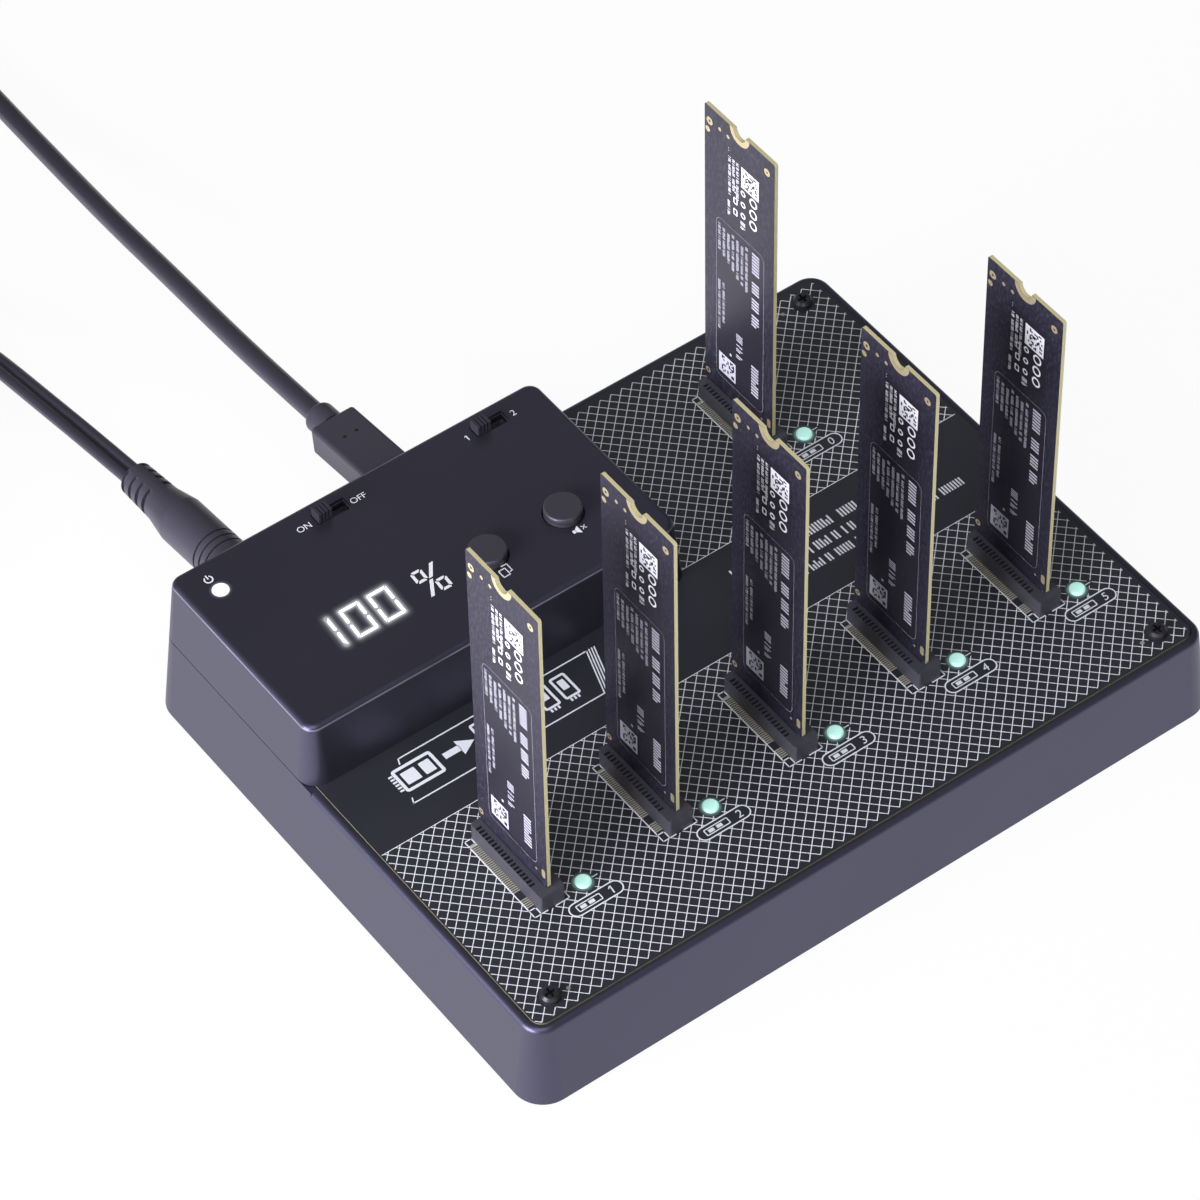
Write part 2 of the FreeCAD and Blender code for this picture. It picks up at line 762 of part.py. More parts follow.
def make_usb_port():
    back = back_face_y(usb_z) - port_set_in
    half_x = usb_port_width / 2
    half_z = usb_port_height / 2
    front = back - usb_port_depth
    shell = box(usb_x - half_x, usb_x + half_x, front, back, usb_z - half_z, usb_z + half_z)
    inner_x = half_x - sheet_metal
    inner_z = half_z - sheet_metal
    hollow = box(usb_x - inner_x, usb_x + inner_x, front + port_back_wall, back,
                 usb_z - inner_z, usb_z + inner_z)
    tongue_x = usb_tongue_width / 2
    tongue_z = usb_tongue_thickness / 2
    tongue = box(usb_x - tongue_x, usb_x + tongue_x, front, back - usb_tongue_set_in,
                 usb_z - tongue_z, usb_z + tongue_z)
    return shell.cut(hollow).fuse(tongue)


def tip_down(shape, x, y, z, yaw):
    """Turn a plug that was made straight along +Y so that it droops and swings to the left."""
    shape.rotate(V(x, y, z), V(1, 0, 0), -plug_droop)
    shape.rotate(V(x, y, z), V(0, 0, 1), yaw)
    return shape


def plug_point(x, y, z, yaw, along):
    """The point on a tipped plug's axis at a distance behind its front."""
    droop = math.radians(plug_droop)
    swing = math.radians(yaw)
    reach = along * math.cos(droop)
    return V(x - reach * math.sin(swing), y + reach * math.cos(swing), z - along * math.sin(droop))


def make_usb_plug():
    y0 = back_face_y(usb_z) + plug_gap
    half_x = usb_plug_width / 2
    half_z = usb_plug_height / 2
    body = box(usb_x - half_x, usb_x + half_x, y0, y0 + usb_plug_length, usb_z - half_z, usb_z + half_z)
    body = body.makeFillet(usb_plug_round, body.Edges)
    collar_y = y0 + usb_plug_length
    collar = Part.makeCylinder(usb_collar_diameter / 2, usb_collar_length, V(usb_x, collar_y, usb_z),
                               V(0, 1, 0))
    rim = [e for e in collar.Edges if abs(e.BoundBox.YMin - collar_y - usb_collar_length) < 1e-4]
    collar = collar.makeFillet(usb_collar_round, rim)
    body = tip_down(body.fuse(collar), usb_x, y0, usb_z, usb_plug_yaw)
    shell_x = usb_shell_width / 2
    shell_z = usb_shell_height / 2
    tip = back_face_y(usb_z) - usb_shell_reach
    shell = box(usb_x - shell_x, usb_x + shell_x, tip, y0 + plug_root, usb_z - shell_z, usb_z + shell_z)
    hollow_x = shell_x - usb_shell_wall
    hollow_z = shell_z - usb_shell_wall
    hollow = box(usb_x - hollow_x, usb_x + hollow_x, tip, y0 - usb_shell_wall,
                 usb_z - hollow_z, usb_z + hollow_z)
    return body.fuse(shell.cut(hollow))


def make_dc_plug():
    """The barrel plug: moulded grip with grooves, ribbed strain relief and hollow metal barrel."""
    y0 = back_face_y(dc_z) + plug_gap
    r = dc_plug_diameter / 2
    relief_r = dc_relief_diameter / 2
    relief_end = dc_plug_length + dc_relief_length
    profile = [
        V(0, 0, 0), V(r - grip_chamfer, 0, 0), V(r, grip_chamfer, 0), V(r, dc_plug_length - grip_taper, 0),
        V(relief_r, dc_plug_length, 0), V(relief_r - grip_chamfer, relief_end - 2 * grip_chamfer, 0),
        V(relief_r - 3 * grip_chamfer, relief_end, 0), V(0, relief_end, 0), V(0, 0, 0),
    ]
    grip = Part.Face(Part.makePolygon(profile)).revolve(V(0, 0, 0), V(0, 1, 0), 360)
    for i in range(grip_grooves):
        along = V(0, grip_first_groove + i * grip_groove_pitch, 0)
        ring = Part.makeCylinder(r, grip_groove_width, along, V(0, 1, 0))
        core = Part.makeCylinder(r - grip_groove_depth, grip_groove_width, along, V(0, 1, 0))
        grip = grip.cut(ring.cut(core))
    for i in range(relief_slots):
        along = dc_plug_length + relief_slot_width + i * relief_slot_pitch
        core = Part.makeCylinder(relief_core / 2, relief_slot_width, V(0, along, 0), V(0, 1, 0))
        for x0, x1 in ((-relief_r, -relief_web / 2), (relief_web / 2, relief_r)):
            cutter = box(x0, x1, along, along + relief_slot_width, -relief_r, relief_r)
            grip = grip.cut(cutter.cut(core))
    grip.translate(V(dc_x, y0, dc_z))
    grip = tip_down(grip, dc_x, y0, dc_z, dc_plug_yaw)
    tip = dc_jack_face() - dc_barrel_reach
    barrel = Part.makeCylinder(dc_barrel / 2, y0 + plug_root - tip, V(dc_x, tip, dc_z), V(0, 1, 0))
    bore = Part.makeCylinder(dc_pin / 2 + pin_clearance, y0 - plug_root - tip, V(dc_x, tip, dc_z), V(0, 1, 0))
    return grip.fuse(barrel.cut(bore))


def lead_tube(points, diameter, name):
    """A round tube along straight runs joined by tangent arcs."""
    edges = []
    start = points[0]
    radii = []
    for i in range(1, len(points) - 1):
        before = points[i] - points[i - 1]
        after = points[i + 1] - points[i]
        turn = before.getAngle(after)
        run = min(before.Length, after.Length)
        radius = 0.45 * run / math.tan(turn / 2)
        cut = radius * math.tan(turn / 2)
        u = V(before).normalize()
        w = V(after).normalize()
        enter = points[i] - u * cut
        leave = points[i] + w * cut
        inward = (w - u).normalize()
        middle = points[i] + inward * (radius / math.cos(turn / 2) - radius)
        edges.append(Part.LineSegment(start, enter).toShape())
        edges.append(Part.Arc(enter, middle, leave).toShape())
        start = leave
        radii.append(radius)
    edges.append(Part.LineSegment(start, points[-1]).toShape())
    path = Part.Wire(edges)
    first = (points[1] - points[0]).normalize()
    ring = Part.Wire(Part.makeCircle(diameter / 2, points[0], first))
    tube = path.makePipeShell([ring], True, True)
    print(name, "radii", [round(r, 1) for r in radii], "length", round(path.Length, 1),
          "volume share", round(tube.Volume / (path.Length * math.pi * diameter ** 2 / 4), 3))
    return tube


def coil_solid(x, y, middle_radius, rows, width, height):
    half = rows * width * coil_pitch_share / 2
    inner = middle_radius - half
    outer = middle_radius + half
    ring = Part.makeCylinder(outer, height, V(x, y, 0)).cut(Part.makeCylinder(inner, height, V(x, y, 0)))
    rims = [e for e in ring.Edges if e.BoundBox.ZMax - e.BoundBox.ZMin < 1e-4]
    return ring.makeChamfer(width * 0.3, rims)


def coil_outer_turn(middle_radius, rows, width):
    return middle_radius + (rows - 1) / 2 * width * coil_pitch_share


def usb_points():
    y0 = back_face_y(usb_z) + plug_gap
    start = plug_point(usb_x, y0, usb_z, usb_plug_yaw, usb_plug_length + usb_collar_length)
    end = V(usb_route[-1][0] - 0.1, usb_coil_y, usb_cable_diameter / 2 + lead_clearance)
    return [start] + [V(*p) for p in usb_route] + [end]


def dc_points():
    y0 = back_face_y(dc_z) + plug_gap
    start = plug_point(dc_x, y0, dc_z, dc_plug_yaw, dc_plug_length + dc_relief_length)
    end = V(dc_route[-1][0] + 0.1, dc_coil_y, dc_lead_width / 2 + lead_clearance)
    return [start] + [V(*p) for p in dc_route] + [end]


def usb_coil_centre():
    turn = coil_outer_turn(usb_coil_radius, usb_coil_rows, usb_cable_diameter)
    return usb_points()[-1].x - turn, usb_coil_y


def dc_coil_centre():
    turn = coil_outer_turn(dc_coil_radius, dc_coil_rows, dc_lead_thickness)
    return dc_points()[-1].x - turn, dc_coil_y


def make_far_plug():
    """The host end of the data lead, leaving the back of the coil towards the left."""
    x, y = usb_coil_centre()
    turn = coil_outer_turn(usb_coil_radius, usb_coil_rows, usb_cable_diameter)
    y += turn
    x -= far_plug_from_coil
    half_z = far_plug_height / 2
    half_y = far_plug_width / 2
    shell_end = x - far_plug_length
    body = box(shell_end, x, y - half_y, y + half_y, 0, far_plug_height)
    body = body.makeFillet(far_plug_round, body.Edges)
    relief = Part.makeCone(usb_cable_diameter * 0.75, usb_cable_diameter * 0.6, far_relief_length + plug_root,
                           V(x - plug_root, y, half_z), V(1, 0, 0))
    shell = box(shell_end - far_shell_length, shell_end + plug_root, y - far_shell_width / 2,
                y + far_shell_width / 2,
                half_z - far_shell_height / 2, half_z + far_shell_height / 2)
    inner_y = far_shell_width / 2 - sheet_metal
    inner_top = half_z + far_shell_height / 2 - sheet_metal
    hollow = box(shell_end - far_shell_length, shell_end, y - inner_y, y + inner_y,
                 inner_top - far_shell_opening, inner_top)
    return body.fuse(relief).fuse(shell.cut(hollow))


def make_adapter():
    """The plug-in power supply, its lead coming off the left side of the coil."""
    x, y = dc_coil_centre()
    x -= coil_outer_turn(dc_coil_radius, dc_coil_rows, dc_lead_thickness)
    y1 = y - adapter_from_coil
    body = box(x - adapter_width / 2, x + adapter_width / 2, y1 - adapter_length, y1, 0, adapter_height)
    body = body.makeFillet(adapter_round, body.Edges)
    relief = Part.makeCone(dc_lead_width * 0.8, dc_lead_width * 0.55, adapter_relief_length + plug_root,
                           V(x, y1 - plug_root, dc_lead_width), V(0, 1, 0))
    end = y1 - adapter_length
    middle_z = adapter_height / 2
    pad = box(x - pin_pad_length / 2, x + pin_pad_length / 2, end - pin_pad_height, end + plug_root,
              middle_z - pin_pad_width / 2, middle_z + pin_pad_width / 2)
    along_y = [e for e in pad.Edges if e.BoundBox.YMax - e.BoundBox.YMin > pin_pad_height]
    adapter = body.fuse(relief).fuse(pad.makeFillet(pin_pad_width / 2 - 0.5, along_y))
    for side in (-1, 1):
        root = V(x + side * pin_spacing / 2, end - pin_pad_height + plug_root, middle_z)
        pin = Part.makeCylinder(pin_diameter / 2, pin_length + plug_root, root, V(0, -1, 0))
        tip_y = end - pin_pad_height - pin_length
        tip = [e for e in pin.Edges if abs(e.BoundBox.YMax - tip_y) < 1e-4]
        adapter = adapter.fuse(pin.makeChamfer(pin_tip_chamfer, tip))
    return adapter


save(make_tray(), "base_tray")
save(make_feet(), "rubber_feet")
save(make_panel(), "top_board")
save(make_panel_screws(), "top_board_screws")
save(make_main_chips(), "main_chips")
for name, (card_x, card_y) in card_places.items():
    save(make_socket(card_x, card_y), name + "_socket")
    save(make_card(card_x, card_y), name + "_card")
    save(make_card_chips(card_x, card_y), name + "_card_chips")
save(make_contacts(), "socket_legs")
save(make_status_lights(), "status_lights")
save(make_box(), "control_box")
save(make_box_screws(), "control_box_screws")
save(make_control_board(), "control_board")
save(make_standoffs(), "board_standoffs")
save(make_standoff_screws(), "standoff_screws")
save(make_board_link(), "board_link")
for name, slot_x in slide_slot_xs.items():
    save(make_switch_body(slot_x), name + "_switch_body")
    save(make_knob(slot_x), name + "_switch_knob")
for name, cap_x in button_xs.items():
    save(make_button(cap_x), name + "_button")
save(make_tact_switches(), "button_switches")
save(make_buzzer(), "buzzer")
save(make_power_lens(), "power_lens")
save(make_display(), "display_module")
save(make_dc_jack(), "dc_jack")
save(make_usb_port(), "usb_port")
save(make_usb_plug(), "usb_plug")
save(make_dc_plug(), "dc_plug")
save(lead_tube(usb_points(), usb_cable_diameter, "usb cable"), "usb_cable")
save(lead_tube(dc_points(), dc_lead_width, "dc lead"), "dc_lead")
save(coil_solid(*usb_coil_centre(), usb_coil_radius, usb_coil_rows, usb_cable_diameter,
                2 * usb_cable_diameter), "usb_coil")
save(coil_solid(*dc_coil_centre(), dc_coil_radius, dc_coil_rows, dc_lead_thickness,
                2 * dc_lead_width), "dc_coil")
save(make_far_plug(), "usb_far_plug")
save(make_adapter(), "power_adapter")
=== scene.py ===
# %% [markdown]
# A drive duplicator: a black tray closed by a printed circuit board, six small cards standing in
# their sockets, and a control box on the rear left corner. The moulded parts come from the packed
# model and keep their shape. This lesson gives them their finishes, and adds what is printed,
# plated, lit or flexible: the white lines on the boards, the gold, the lights and the two leads.

import math
import random

import bmesh
import bpy
from mathutils import Matrix, Vector


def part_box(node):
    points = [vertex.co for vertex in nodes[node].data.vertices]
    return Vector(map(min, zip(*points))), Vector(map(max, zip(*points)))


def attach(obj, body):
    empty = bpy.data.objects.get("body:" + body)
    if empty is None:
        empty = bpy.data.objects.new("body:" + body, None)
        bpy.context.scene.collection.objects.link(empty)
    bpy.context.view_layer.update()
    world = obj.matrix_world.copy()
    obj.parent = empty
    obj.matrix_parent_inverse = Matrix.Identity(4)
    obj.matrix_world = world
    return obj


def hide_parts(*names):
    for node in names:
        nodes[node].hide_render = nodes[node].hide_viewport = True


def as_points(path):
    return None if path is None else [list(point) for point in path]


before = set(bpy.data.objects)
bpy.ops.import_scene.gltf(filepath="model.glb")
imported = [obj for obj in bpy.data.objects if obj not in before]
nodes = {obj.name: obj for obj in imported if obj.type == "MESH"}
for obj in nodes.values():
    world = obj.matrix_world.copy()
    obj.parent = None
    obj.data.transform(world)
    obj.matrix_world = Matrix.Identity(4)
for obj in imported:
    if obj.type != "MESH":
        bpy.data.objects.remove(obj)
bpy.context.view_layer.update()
MM = 0.001

# %% [markdown]
# The camera stands to the left of the near corner and looks down at 49 degrees through a long
# lens, so the walls stay nearly parallel. Its place follows from two angles, a roll and a distance,
# which says more to a reader than a list of numbers, and the point that it looks at is close to the
# middle of the tray. A long lens is a narrow field: 170 mm on a 36 mm sensor.

# %% Camera
camera_azimuth = math.radians(-125.494)
camera_elevation = math.radians(48.984)
camera_roll = math.radians(-1.373)
camera_distance = 1122.1 * MM
camera_offset = Vector((-16.5, 19.3)) * MM
feet_height = 0.6 * MM
picture_size = 1200
focal_pixels = 5690.3
sensor_width = 36.0

towards_camera = Vector((
    math.cos(camera_elevation) * math.cos(camera_azimuth),
    math.cos(camera_elevation) * math.sin(camera_azimuth),
    math.sin(camera_elevation),
))
level_right = Vector((0, 0, 1)).cross(towards_camera).normalized()
level_up = towards_camera.cross(level_right)
camera_right = level_right * math.cos(camera_roll) + level_up * math.sin(camera_roll)
camera_up = level_up * math.cos(camera_roll) - level_right * math.sin(camera_roll)


def add_object(name, data):
    """Puts new data into the scene as an object."""
    made = bpy.data.objects.new(name, data)
    bpy.context.scene.collection.objects.link(made)
    return made


camera_data = bpy.data.cameras.new("camera")
camera_data.sensor_width = sensor_width
camera_data.lens = sensor_width * focal_pixels / picture_size
camera_data.clip_start = 0.05
camera_data.clip_end = 20
camera = add_object("camera", camera_data)
camera_place = towards_camera * camera_distance + camera_right * camera_offset.x + camera_up * camera_offset.y
camera_place.z += feet_height
turn = Matrix((camera_right, camera_up, towards_camera)).transposed().to_4x4()
camera.matrix_world = Matrix.Translation(camera_place) @ turn
bpy.context.scene.camera = camera
print("camera at", [round(v, 3) for v in camera_place])

# %% [markdown]
# Both leads start straight out of their plugs, sink under their own weight and reach the table
# outside the picture, where the rest is wound up. A NURBS curve of order 3 draws one smooth line
# from a few points, with no kinks to smooth afterwards. The coils are part of the same
# curve. Each turn is a circle, and a change of row takes a sixth of a turn, so that none cuts
# through its neighbour: three rows going in, a climb, and three going out on top. The points of a
# route and the measures of a coil are in millimetres.

# %% Routes of the leads
usb_diameter = 4.4 * MM
usb_route = [
    (-24.7, 104.6, 20.6),
    (-24.3, 122.0, 18.4),
    (-23.0, 145.0, 14.9),
    (-21.6, 170.0, 10.6),
    (-19.5, 195.0, 6.2),
    (-18.0, 218.0, 3.3),
    (-17.3, 240.0, 2.5),
]
usb_coil_y = 260.0
usb_coil_radius = 24.2
dc_lead_width = 5.0 * MM
dc_lead_thickness = 2.5 * MM
dc_route = [
    (-64.7, 112.0, 22.1),
    (-65.1, 128.0, 19.2),
    (-64.8, 144.0, 15.1),
    (-64.5, 160.0, 10.6),
    (-64.4, 176.0, 6.3),
    (-64.1, 190.0, 3.6),
    (-63.9, 202.0, 2.8),
]
dc_coil_y = 213.0
dc_coil_radius = 27.5
coil_rows = 3
coil_step = 20
row_changes = (240, 600, 900, 1200, 1560)
change_turn = 60
coil_pitch_share = 1.03
lead_clearance = 0.1
coil_shift = 0.1
plug_gap = 0.8 * MM
lead_tuck = 1 * MM
plug_droop = math.radians(5.0)
plug_swing = math.radians(1.3)
box_wall_lean = 0.11


def plug_end(start, along):
    """The end of a plug's axis: it starts at the back of the box and tips down and to the left."""
    reach = along * math.cos(plug_droop)
    x = start.x - reach * math.sin(plug_swing)
    y = start.y + reach * math.cos(plug_swing)
    return Vector((x, y, start.z - along * math.sin(plug_droop)))


def coil_points(centre, outer, pitch, low, high, last_turn):
    """Control points of a neat coil that starts at angle 0 and ends at last_turn degrees."""
    inner = outer - pitch * (coil_rows - 1)
    rows = [(outer, low), (outer - pitch, low), (inner, low),
            (inner, high), (inner + pitch, high), (outer, high)]
    swell = 1 / math.cos(math.radians(coil_step / 2))
    points = []
    for angle in range(coil_step, last_turn + 1, coil_step):
        begun = sum(angle > change for change in row_changes)
        share = min((angle - row_changes[begun - 1]) / change_turn, 1) if begun else 0
        share = share * share * (3 - 2 * share)
        (radius_a, z_a), (radius_b, z_b) = rows[max(begun - 1, 0)], rows[begun]
        radius = (radius_a + (radius_b - radius_a) * share) * swell
        a = math.radians(angle)
        z = z_a + (z_b - z_a) * share
        points.append(centre + Vector((math.cos(a) * radius, math.sin(a) * radius, z)))
    return points


def wound_route(start, route, coil_y, coil_radius, thickness, height, shift, last_turn):
    """The points of a lead from its plug to the end of its coil, and the coil's centre and radius."""
    pitch = thickness * coil_pitch_share
    outer = coil_radius * MM + pitch * (coil_rows - 1) / 2
    lie = height / 2 + lead_clearance * MM
    coil_start = Vector(((route[-1][0] + shift) * MM, coil_y * MM, lie))
    centre = Vector((coil_start.x - outer, coil_start.y, 0))
    points = [start] + [Vector(p) * MM for p in route] + [coil_start]
    points += coil_points(centre, outer, pitch, lie, lie + height, last_turn)
    return points, centre, outer


def nurbs_line(name, points, radius=0.0):
    """A curve object with one open NURBS spline through the ends of its control points."""
    curve = bpy.data.curves.new(name, "CURVE")
    curve.dimensions = "3D"
    spline = curve.splines.new("NURBS")
    spline.points.add(len(points) - 1)
    for spline_point, place in zip(spline.points, points):
        spline_point.co = (*place, 1)
        spline_point.radius = radius
    spline.order_u = 3
    spline.use_endpoint_u = True
    spline.resolution_u = 6
    return add_object(name, curve)


def line_points(line):
    """The points that a curve with no bevel draws, in order."""
    mesh = bpy.data.meshes.new_from_object(line)
    places = [v.co.copy() for v in mesh.vertices]
    bpy.data.meshes.remove(mesh)
    return places


def total_length(places):
    return sum((b - a).length for a, b in zip(places, places[1:]))


# %% [markdown]
# The data lead is a round cable, so the curve's own bevel makes it. It leaves the collar of its
# plug and ends in the collar of the plug at its other end, which lies beside the coil.

# %% Data lead
port_low, port_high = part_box("usb_port")
port_middle = (port_low + port_high) / 2
port_inset = 0.3 * MM
usb_plug_reach = 27.4 * MM
usb_last_turn = 1880
usb_root = Vector((port_middle.x, port_high.y + port_inset + plug_gap, port_middle.z))
usb_start = plug_end(usb_root, usb_plug_reach)
usb_points, usb_coil_centre, usb_outer = wound_route(
    usb_start, usb_route, usb_coil_y, usb_coil_radius, usb_diameter, usb_diameter, -coil_shift, usb_last_turn)
usb_far_tip = Vector((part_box("usb_far_plug")[1].x, usb_coil_centre.y + usb_outer, 0))
far_plug_middle = 4.2 * MM
far_plug_approach = Vector((6.0, 0, 1.2)) * MM
usb_points.append(usb_far_tip + Vector((0, 0, far_plug_middle)) + far_plug_approach)
usb_points.append(usb_far_tip + Vector((-lead_tuck, 0, far_plug_middle)))
usb_cable = nurbs_line("data_cable", usb_points, usb_diameter / 2)
usb_length = total_length(line_points(usb_cable))
usb_cable.data.bevel_depth = 1.0
usb_cable.data.bevel_resolution = 5
usb_cable.data.use_fill_caps = True
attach(usb_cable, "base")
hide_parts("usb_cable", "usb_coil")
print("data lead", round(usb_length, 3), "m")

# %% [markdown]
# The power lead is a flat twin lead: two round strands side by side with a thin web between. Its
# section is a small closed curve, swept along the same kind of spline, and the sweep is made a mesh
# so that the section's own object can go. It lies flat where it leaves the plug and turns on edge
# before the coil, as flat leads do when they are wound up.

# %% Power lead
jack_low, jack_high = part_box("dc_jack")
jack_axis_below_top = 4.5 * MM
box_foot_z = 20.7 * MM
dc_axis_z = jack_high.z - jack_axis_below_top
dc_lean = box_wall_lean * (dc_axis_z - box_foot_z)
dc_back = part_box("control_box")[1].y - dc_lean
dc_plug_reach = 34.5 * MM
dc_last_turn = 1980
dc_start = plug_end(Vector(((jack_low.x + jack_high.x) / 2, dc_back + plug_gap, dc_axis_z)), dc_plug_reach)
dc_points, dc_coil_centre, dc_outer = wound_route(
    dc_start, dc_route, dc_coil_y, dc_coil_radius, dc_lead_thickness, dc_lead_width, coil_shift, dc_last_turn)
adapter_tip = Vector((dc_coil_centre.x - dc_outer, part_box("power_adapter")[1].y, dc_lead_width))
adapter_approach = Vector((0, 5.0, 1.3)) * MM
dc_points.append(adapter_tip + adapter_approach)
dc_points.append(adapter_tip + Vector((0, -lead_tuck, 0)))
flat_points = 3
turned_at = len(dc_route) + 1


def twin_section():
    """The outline of a flat twin lead: two strands and the groove between them."""
    curve = bpy.data.curves.new("twin_section", "CURVE")
    curve.dimensions = "2D"
    spline = curve.splines.new("POLY")
    strand = dc_lead_thickness / 2
    apart = dc_lead_width / 2 - strand
    outline = []
    for side in (1, -1):
        for angle in range(-150, 151, 20):
            a = math.radians(angle)
            outline.append((side * (apart + strand * math.cos(a)), side * strand * math.sin(a)))
    spline.points.add(len(outline) - 1)
    for spline_point, (x, y) in zip(spline.points, outline):
        spline_point.co = (x, y, 0, 1)
    spline.use_cyclic_u = True
    return bpy.data.objects.new("twin_section", curve)


def power_lead():
    """Sweeps the twin section along the route and returns the mesh with the path it follows."""
    line = nurbs_line("power_lead_line", dc_points, 1.0)
    path = line_points(line)
    section = twin_section()
    line.data.twist_mode = "Z_UP"
    spline = line.data.splines[0]
    for i, spline_point in enumerate(spline.points):
        share = min(max((i - flat_points) / (turned_at - flat_points), 0), 1)
        spline_point.tilt = math.radians(90) * share
    line.data.bevel_mode = "OBJECT"
    line.data.bevel_object = section
    line.data.use_fill_caps = True
    bpy.context.view_layer.update()
    swept = line.evaluated_get(bpy.context.evaluated_depsgraph_get())
    mesh = bpy.data.meshes.new_from_object(swept)
    mesh.name = "power_lead"
    bpy.data.objects.remove(line)
    bpy.data.objects.remove(section)
    return add_object("power_lead", mesh), path


dc_lead, dc_path = power_lead()
for face in dc_lead.data.polygons:
    face.use_smooth = True
dc_length = total_length(dc_path)
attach(dc_lead, "base")
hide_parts("dc_lead", "dc_coil")
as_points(dc_path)
print("power lead", round(dc_length, 3), "m")

# %% [markdown]
# The product stands on a white sweep under large soft lamps. Its black walls are seen by the light
# that they reflect from the floor beside them, so the floor has to be bright and the room above it
# darker, or the tops would turn grey. The lamp on the left is the strongest: it is why the left
# walls are lighter than the front ones. A small dim panel behind gives the rear of the black tops
# their sheen.

# %% Floor, lamps and world
def soft_lamp(name, place, aim, width, height, power, colour):
    lamp_data = bpy.data.lights.new(name, "AREA")
    lamp_data.shape = "RECTANGLE"
    lamp_data.size = width
    lamp_data.size_y = height
    lamp_data.energy = power
    lamp_data.color = colour
    lamp = add_object(name, lamp_data)
    lamp.location = place
    lamp.rotation_euler = (Vector(aim) - Vector(place)).to_track_quat("-Z", "Y").to_euler()


low_middle = (0, 0, 0.02)
white_light = (1.0, 1.0, 1.0)
soft_lamp("lamp_left", (-1.0, -0.1, 0.32), low_middle, 0.7, 0.45, 23, (0.93, 0.92, 1.0))
soft_lamp("lamp_front", (0.1, -1.5, 0.8), low_middle, 1.2, 0.8, 1.2, (1.0, 0.99, 1.0))
soft_lamp("lamp_above", (-0.5, -0.6, 1.5), low_middle, 1.0, 1.0, 11, white_light)
soft_lamp("lamp_behind", (0.38, 0.55, 0.5), (0.02, 0.03, 0.02), 0.5, 0.35, 0.12, white_light)

world = bpy.data.worlds.new("studio")
bpy.context.scene.world = world
world.use_nodes = True
room = world.node_tree.nodes["Background"]
room.inputs["Color"].default_value = (0.95, 0.96, 1.0, 1)
room.inputs["Strength"].default_value = 0.12

floor_half = 6.0
floor_sink = Matrix.Translation((0, 0, -0.05 * MM))
floor_bm = bmesh.new()
bmesh.ops.create_grid(floor_bm, x_segments=1, y_segments=1, size=floor_half, matrix=floor_sink)
floor_mesh = bpy.data.meshes.new("floor")
floor_bm.to_mesh(floor_mesh)
floor_bm.free()
add_object("floor", floor_mesh)

scene = bpy.context.scene
scene.view_settings.view_transform = "Standard"

# %% [markdown]
# Each finish is one material, and no plastic is one flat colour: a fine spark-eroded texture breaks
# up its highlights, and the tone drifts a little over a wall. Both come from one node group, so that
# every finish shares the same grain at its own size and strength. A short helper adds the math
# nodes, because a shader tree written out node by node is long and hard to read.

# %% Helpers for node trees
def new_group(name, ins, outs):
    group = bpy.data.node_groups.new(name, "ShaderNodeTree")
    for socket_name, kind, value in ins:
        socket = group.interface.new_socket(name=socket_name, in_out="INPUT", socket_type=kind)
        socket.default_value = value
    for socket_name, kind in outs:
        group.interface.new_socket(name=socket_name, in_out="OUTPUT", socket_type=kind)
    return group, group.nodes.new("NodeGroupInput"), group.nodes.new("NodeGroupOutput")


def calc(tree, operation, *values):
    """Adds one math node and returns its output. Each value is a number or another output."""
    node = tree.nodes.new("ShaderNodeMath")
    node.operation = operation
    for socket, value in zip(node.inputs, values):
        if isinstance(value, (int, float)):
            socket.default_value = value
        else:
            tree.links.new(value, socket)
    return node.outputs[0]


def noise(tree, vector, scale, detail):
    node = tree.nodes.new("ShaderNodeTexNoise")
    node.inputs["Detail"].default_value = detail
    if isinstance(scale, (int, float)):
        node.inputs["Scale"].default_value = scale
    else:
        tree.links.new(scale, node.inputs["Scale"])
    tree.links.new(vector, node.inputs["Vector"])
    return node.outputs["Fac"]


def blend(tree, share, first, second, kind="MIX"):
    """Mixes two colours, each a fixed value or another output."""
    node = tree.nodes.new("ShaderNodeMix")
    node.data_type = "RGBA"
    node.blend_type = kind
    for socket_name, value in (("Factor", share), ("A", first), ("B", second)):
        if isinstance(value, bpy.types.NodeSocket):
            tree.links.new(value, node.inputs[socket_name])
        else:
            node.inputs[socket_name].default_value = value
    return node.outputs["Result"]


def srgb(red, green, blue):
    """A colour written as on a screen, 0 to 255, made linear for the shader."""
    def linear(v):
        v /= 255
        return v / 12.92 if v <= 0.04045 else ((v + 0.055) / 1.055) ** 2.4
    return linear(red), linear(green), linear(blue), 1


def coordinates(tree, kind="Object"):
    """The place of each point on the object or, with Normal, the way that it faces."""
    return tree.nodes.new("ShaderNodeTexCoord").outputs[kind]


def split(tree, vector):
    """Takes a vector apart. Returns the outputs, which have the names X, Y and Z."""
    node = tree.nodes.new("ShaderNodeSeparateXYZ")
    tree.links.new(vector, node.inputs[0])
    return node.outputs


def clamp(tree, value, top=1.0):
    return calc(tree, "MINIMUM", calc(tree, "MAXIMUM", value, 0.0), top)


print("grey card", [round(v, 3) for v in srgb(119, 119, 119)[:3]])

# %% [markdown]
# The floor is white paper. The camera, and every surface that mirrors it, sees plain white by way of
# the Light Path node, while a small share of its own shading keeps the object's shadow on it.

# %% White floor
paper_share = 0.94


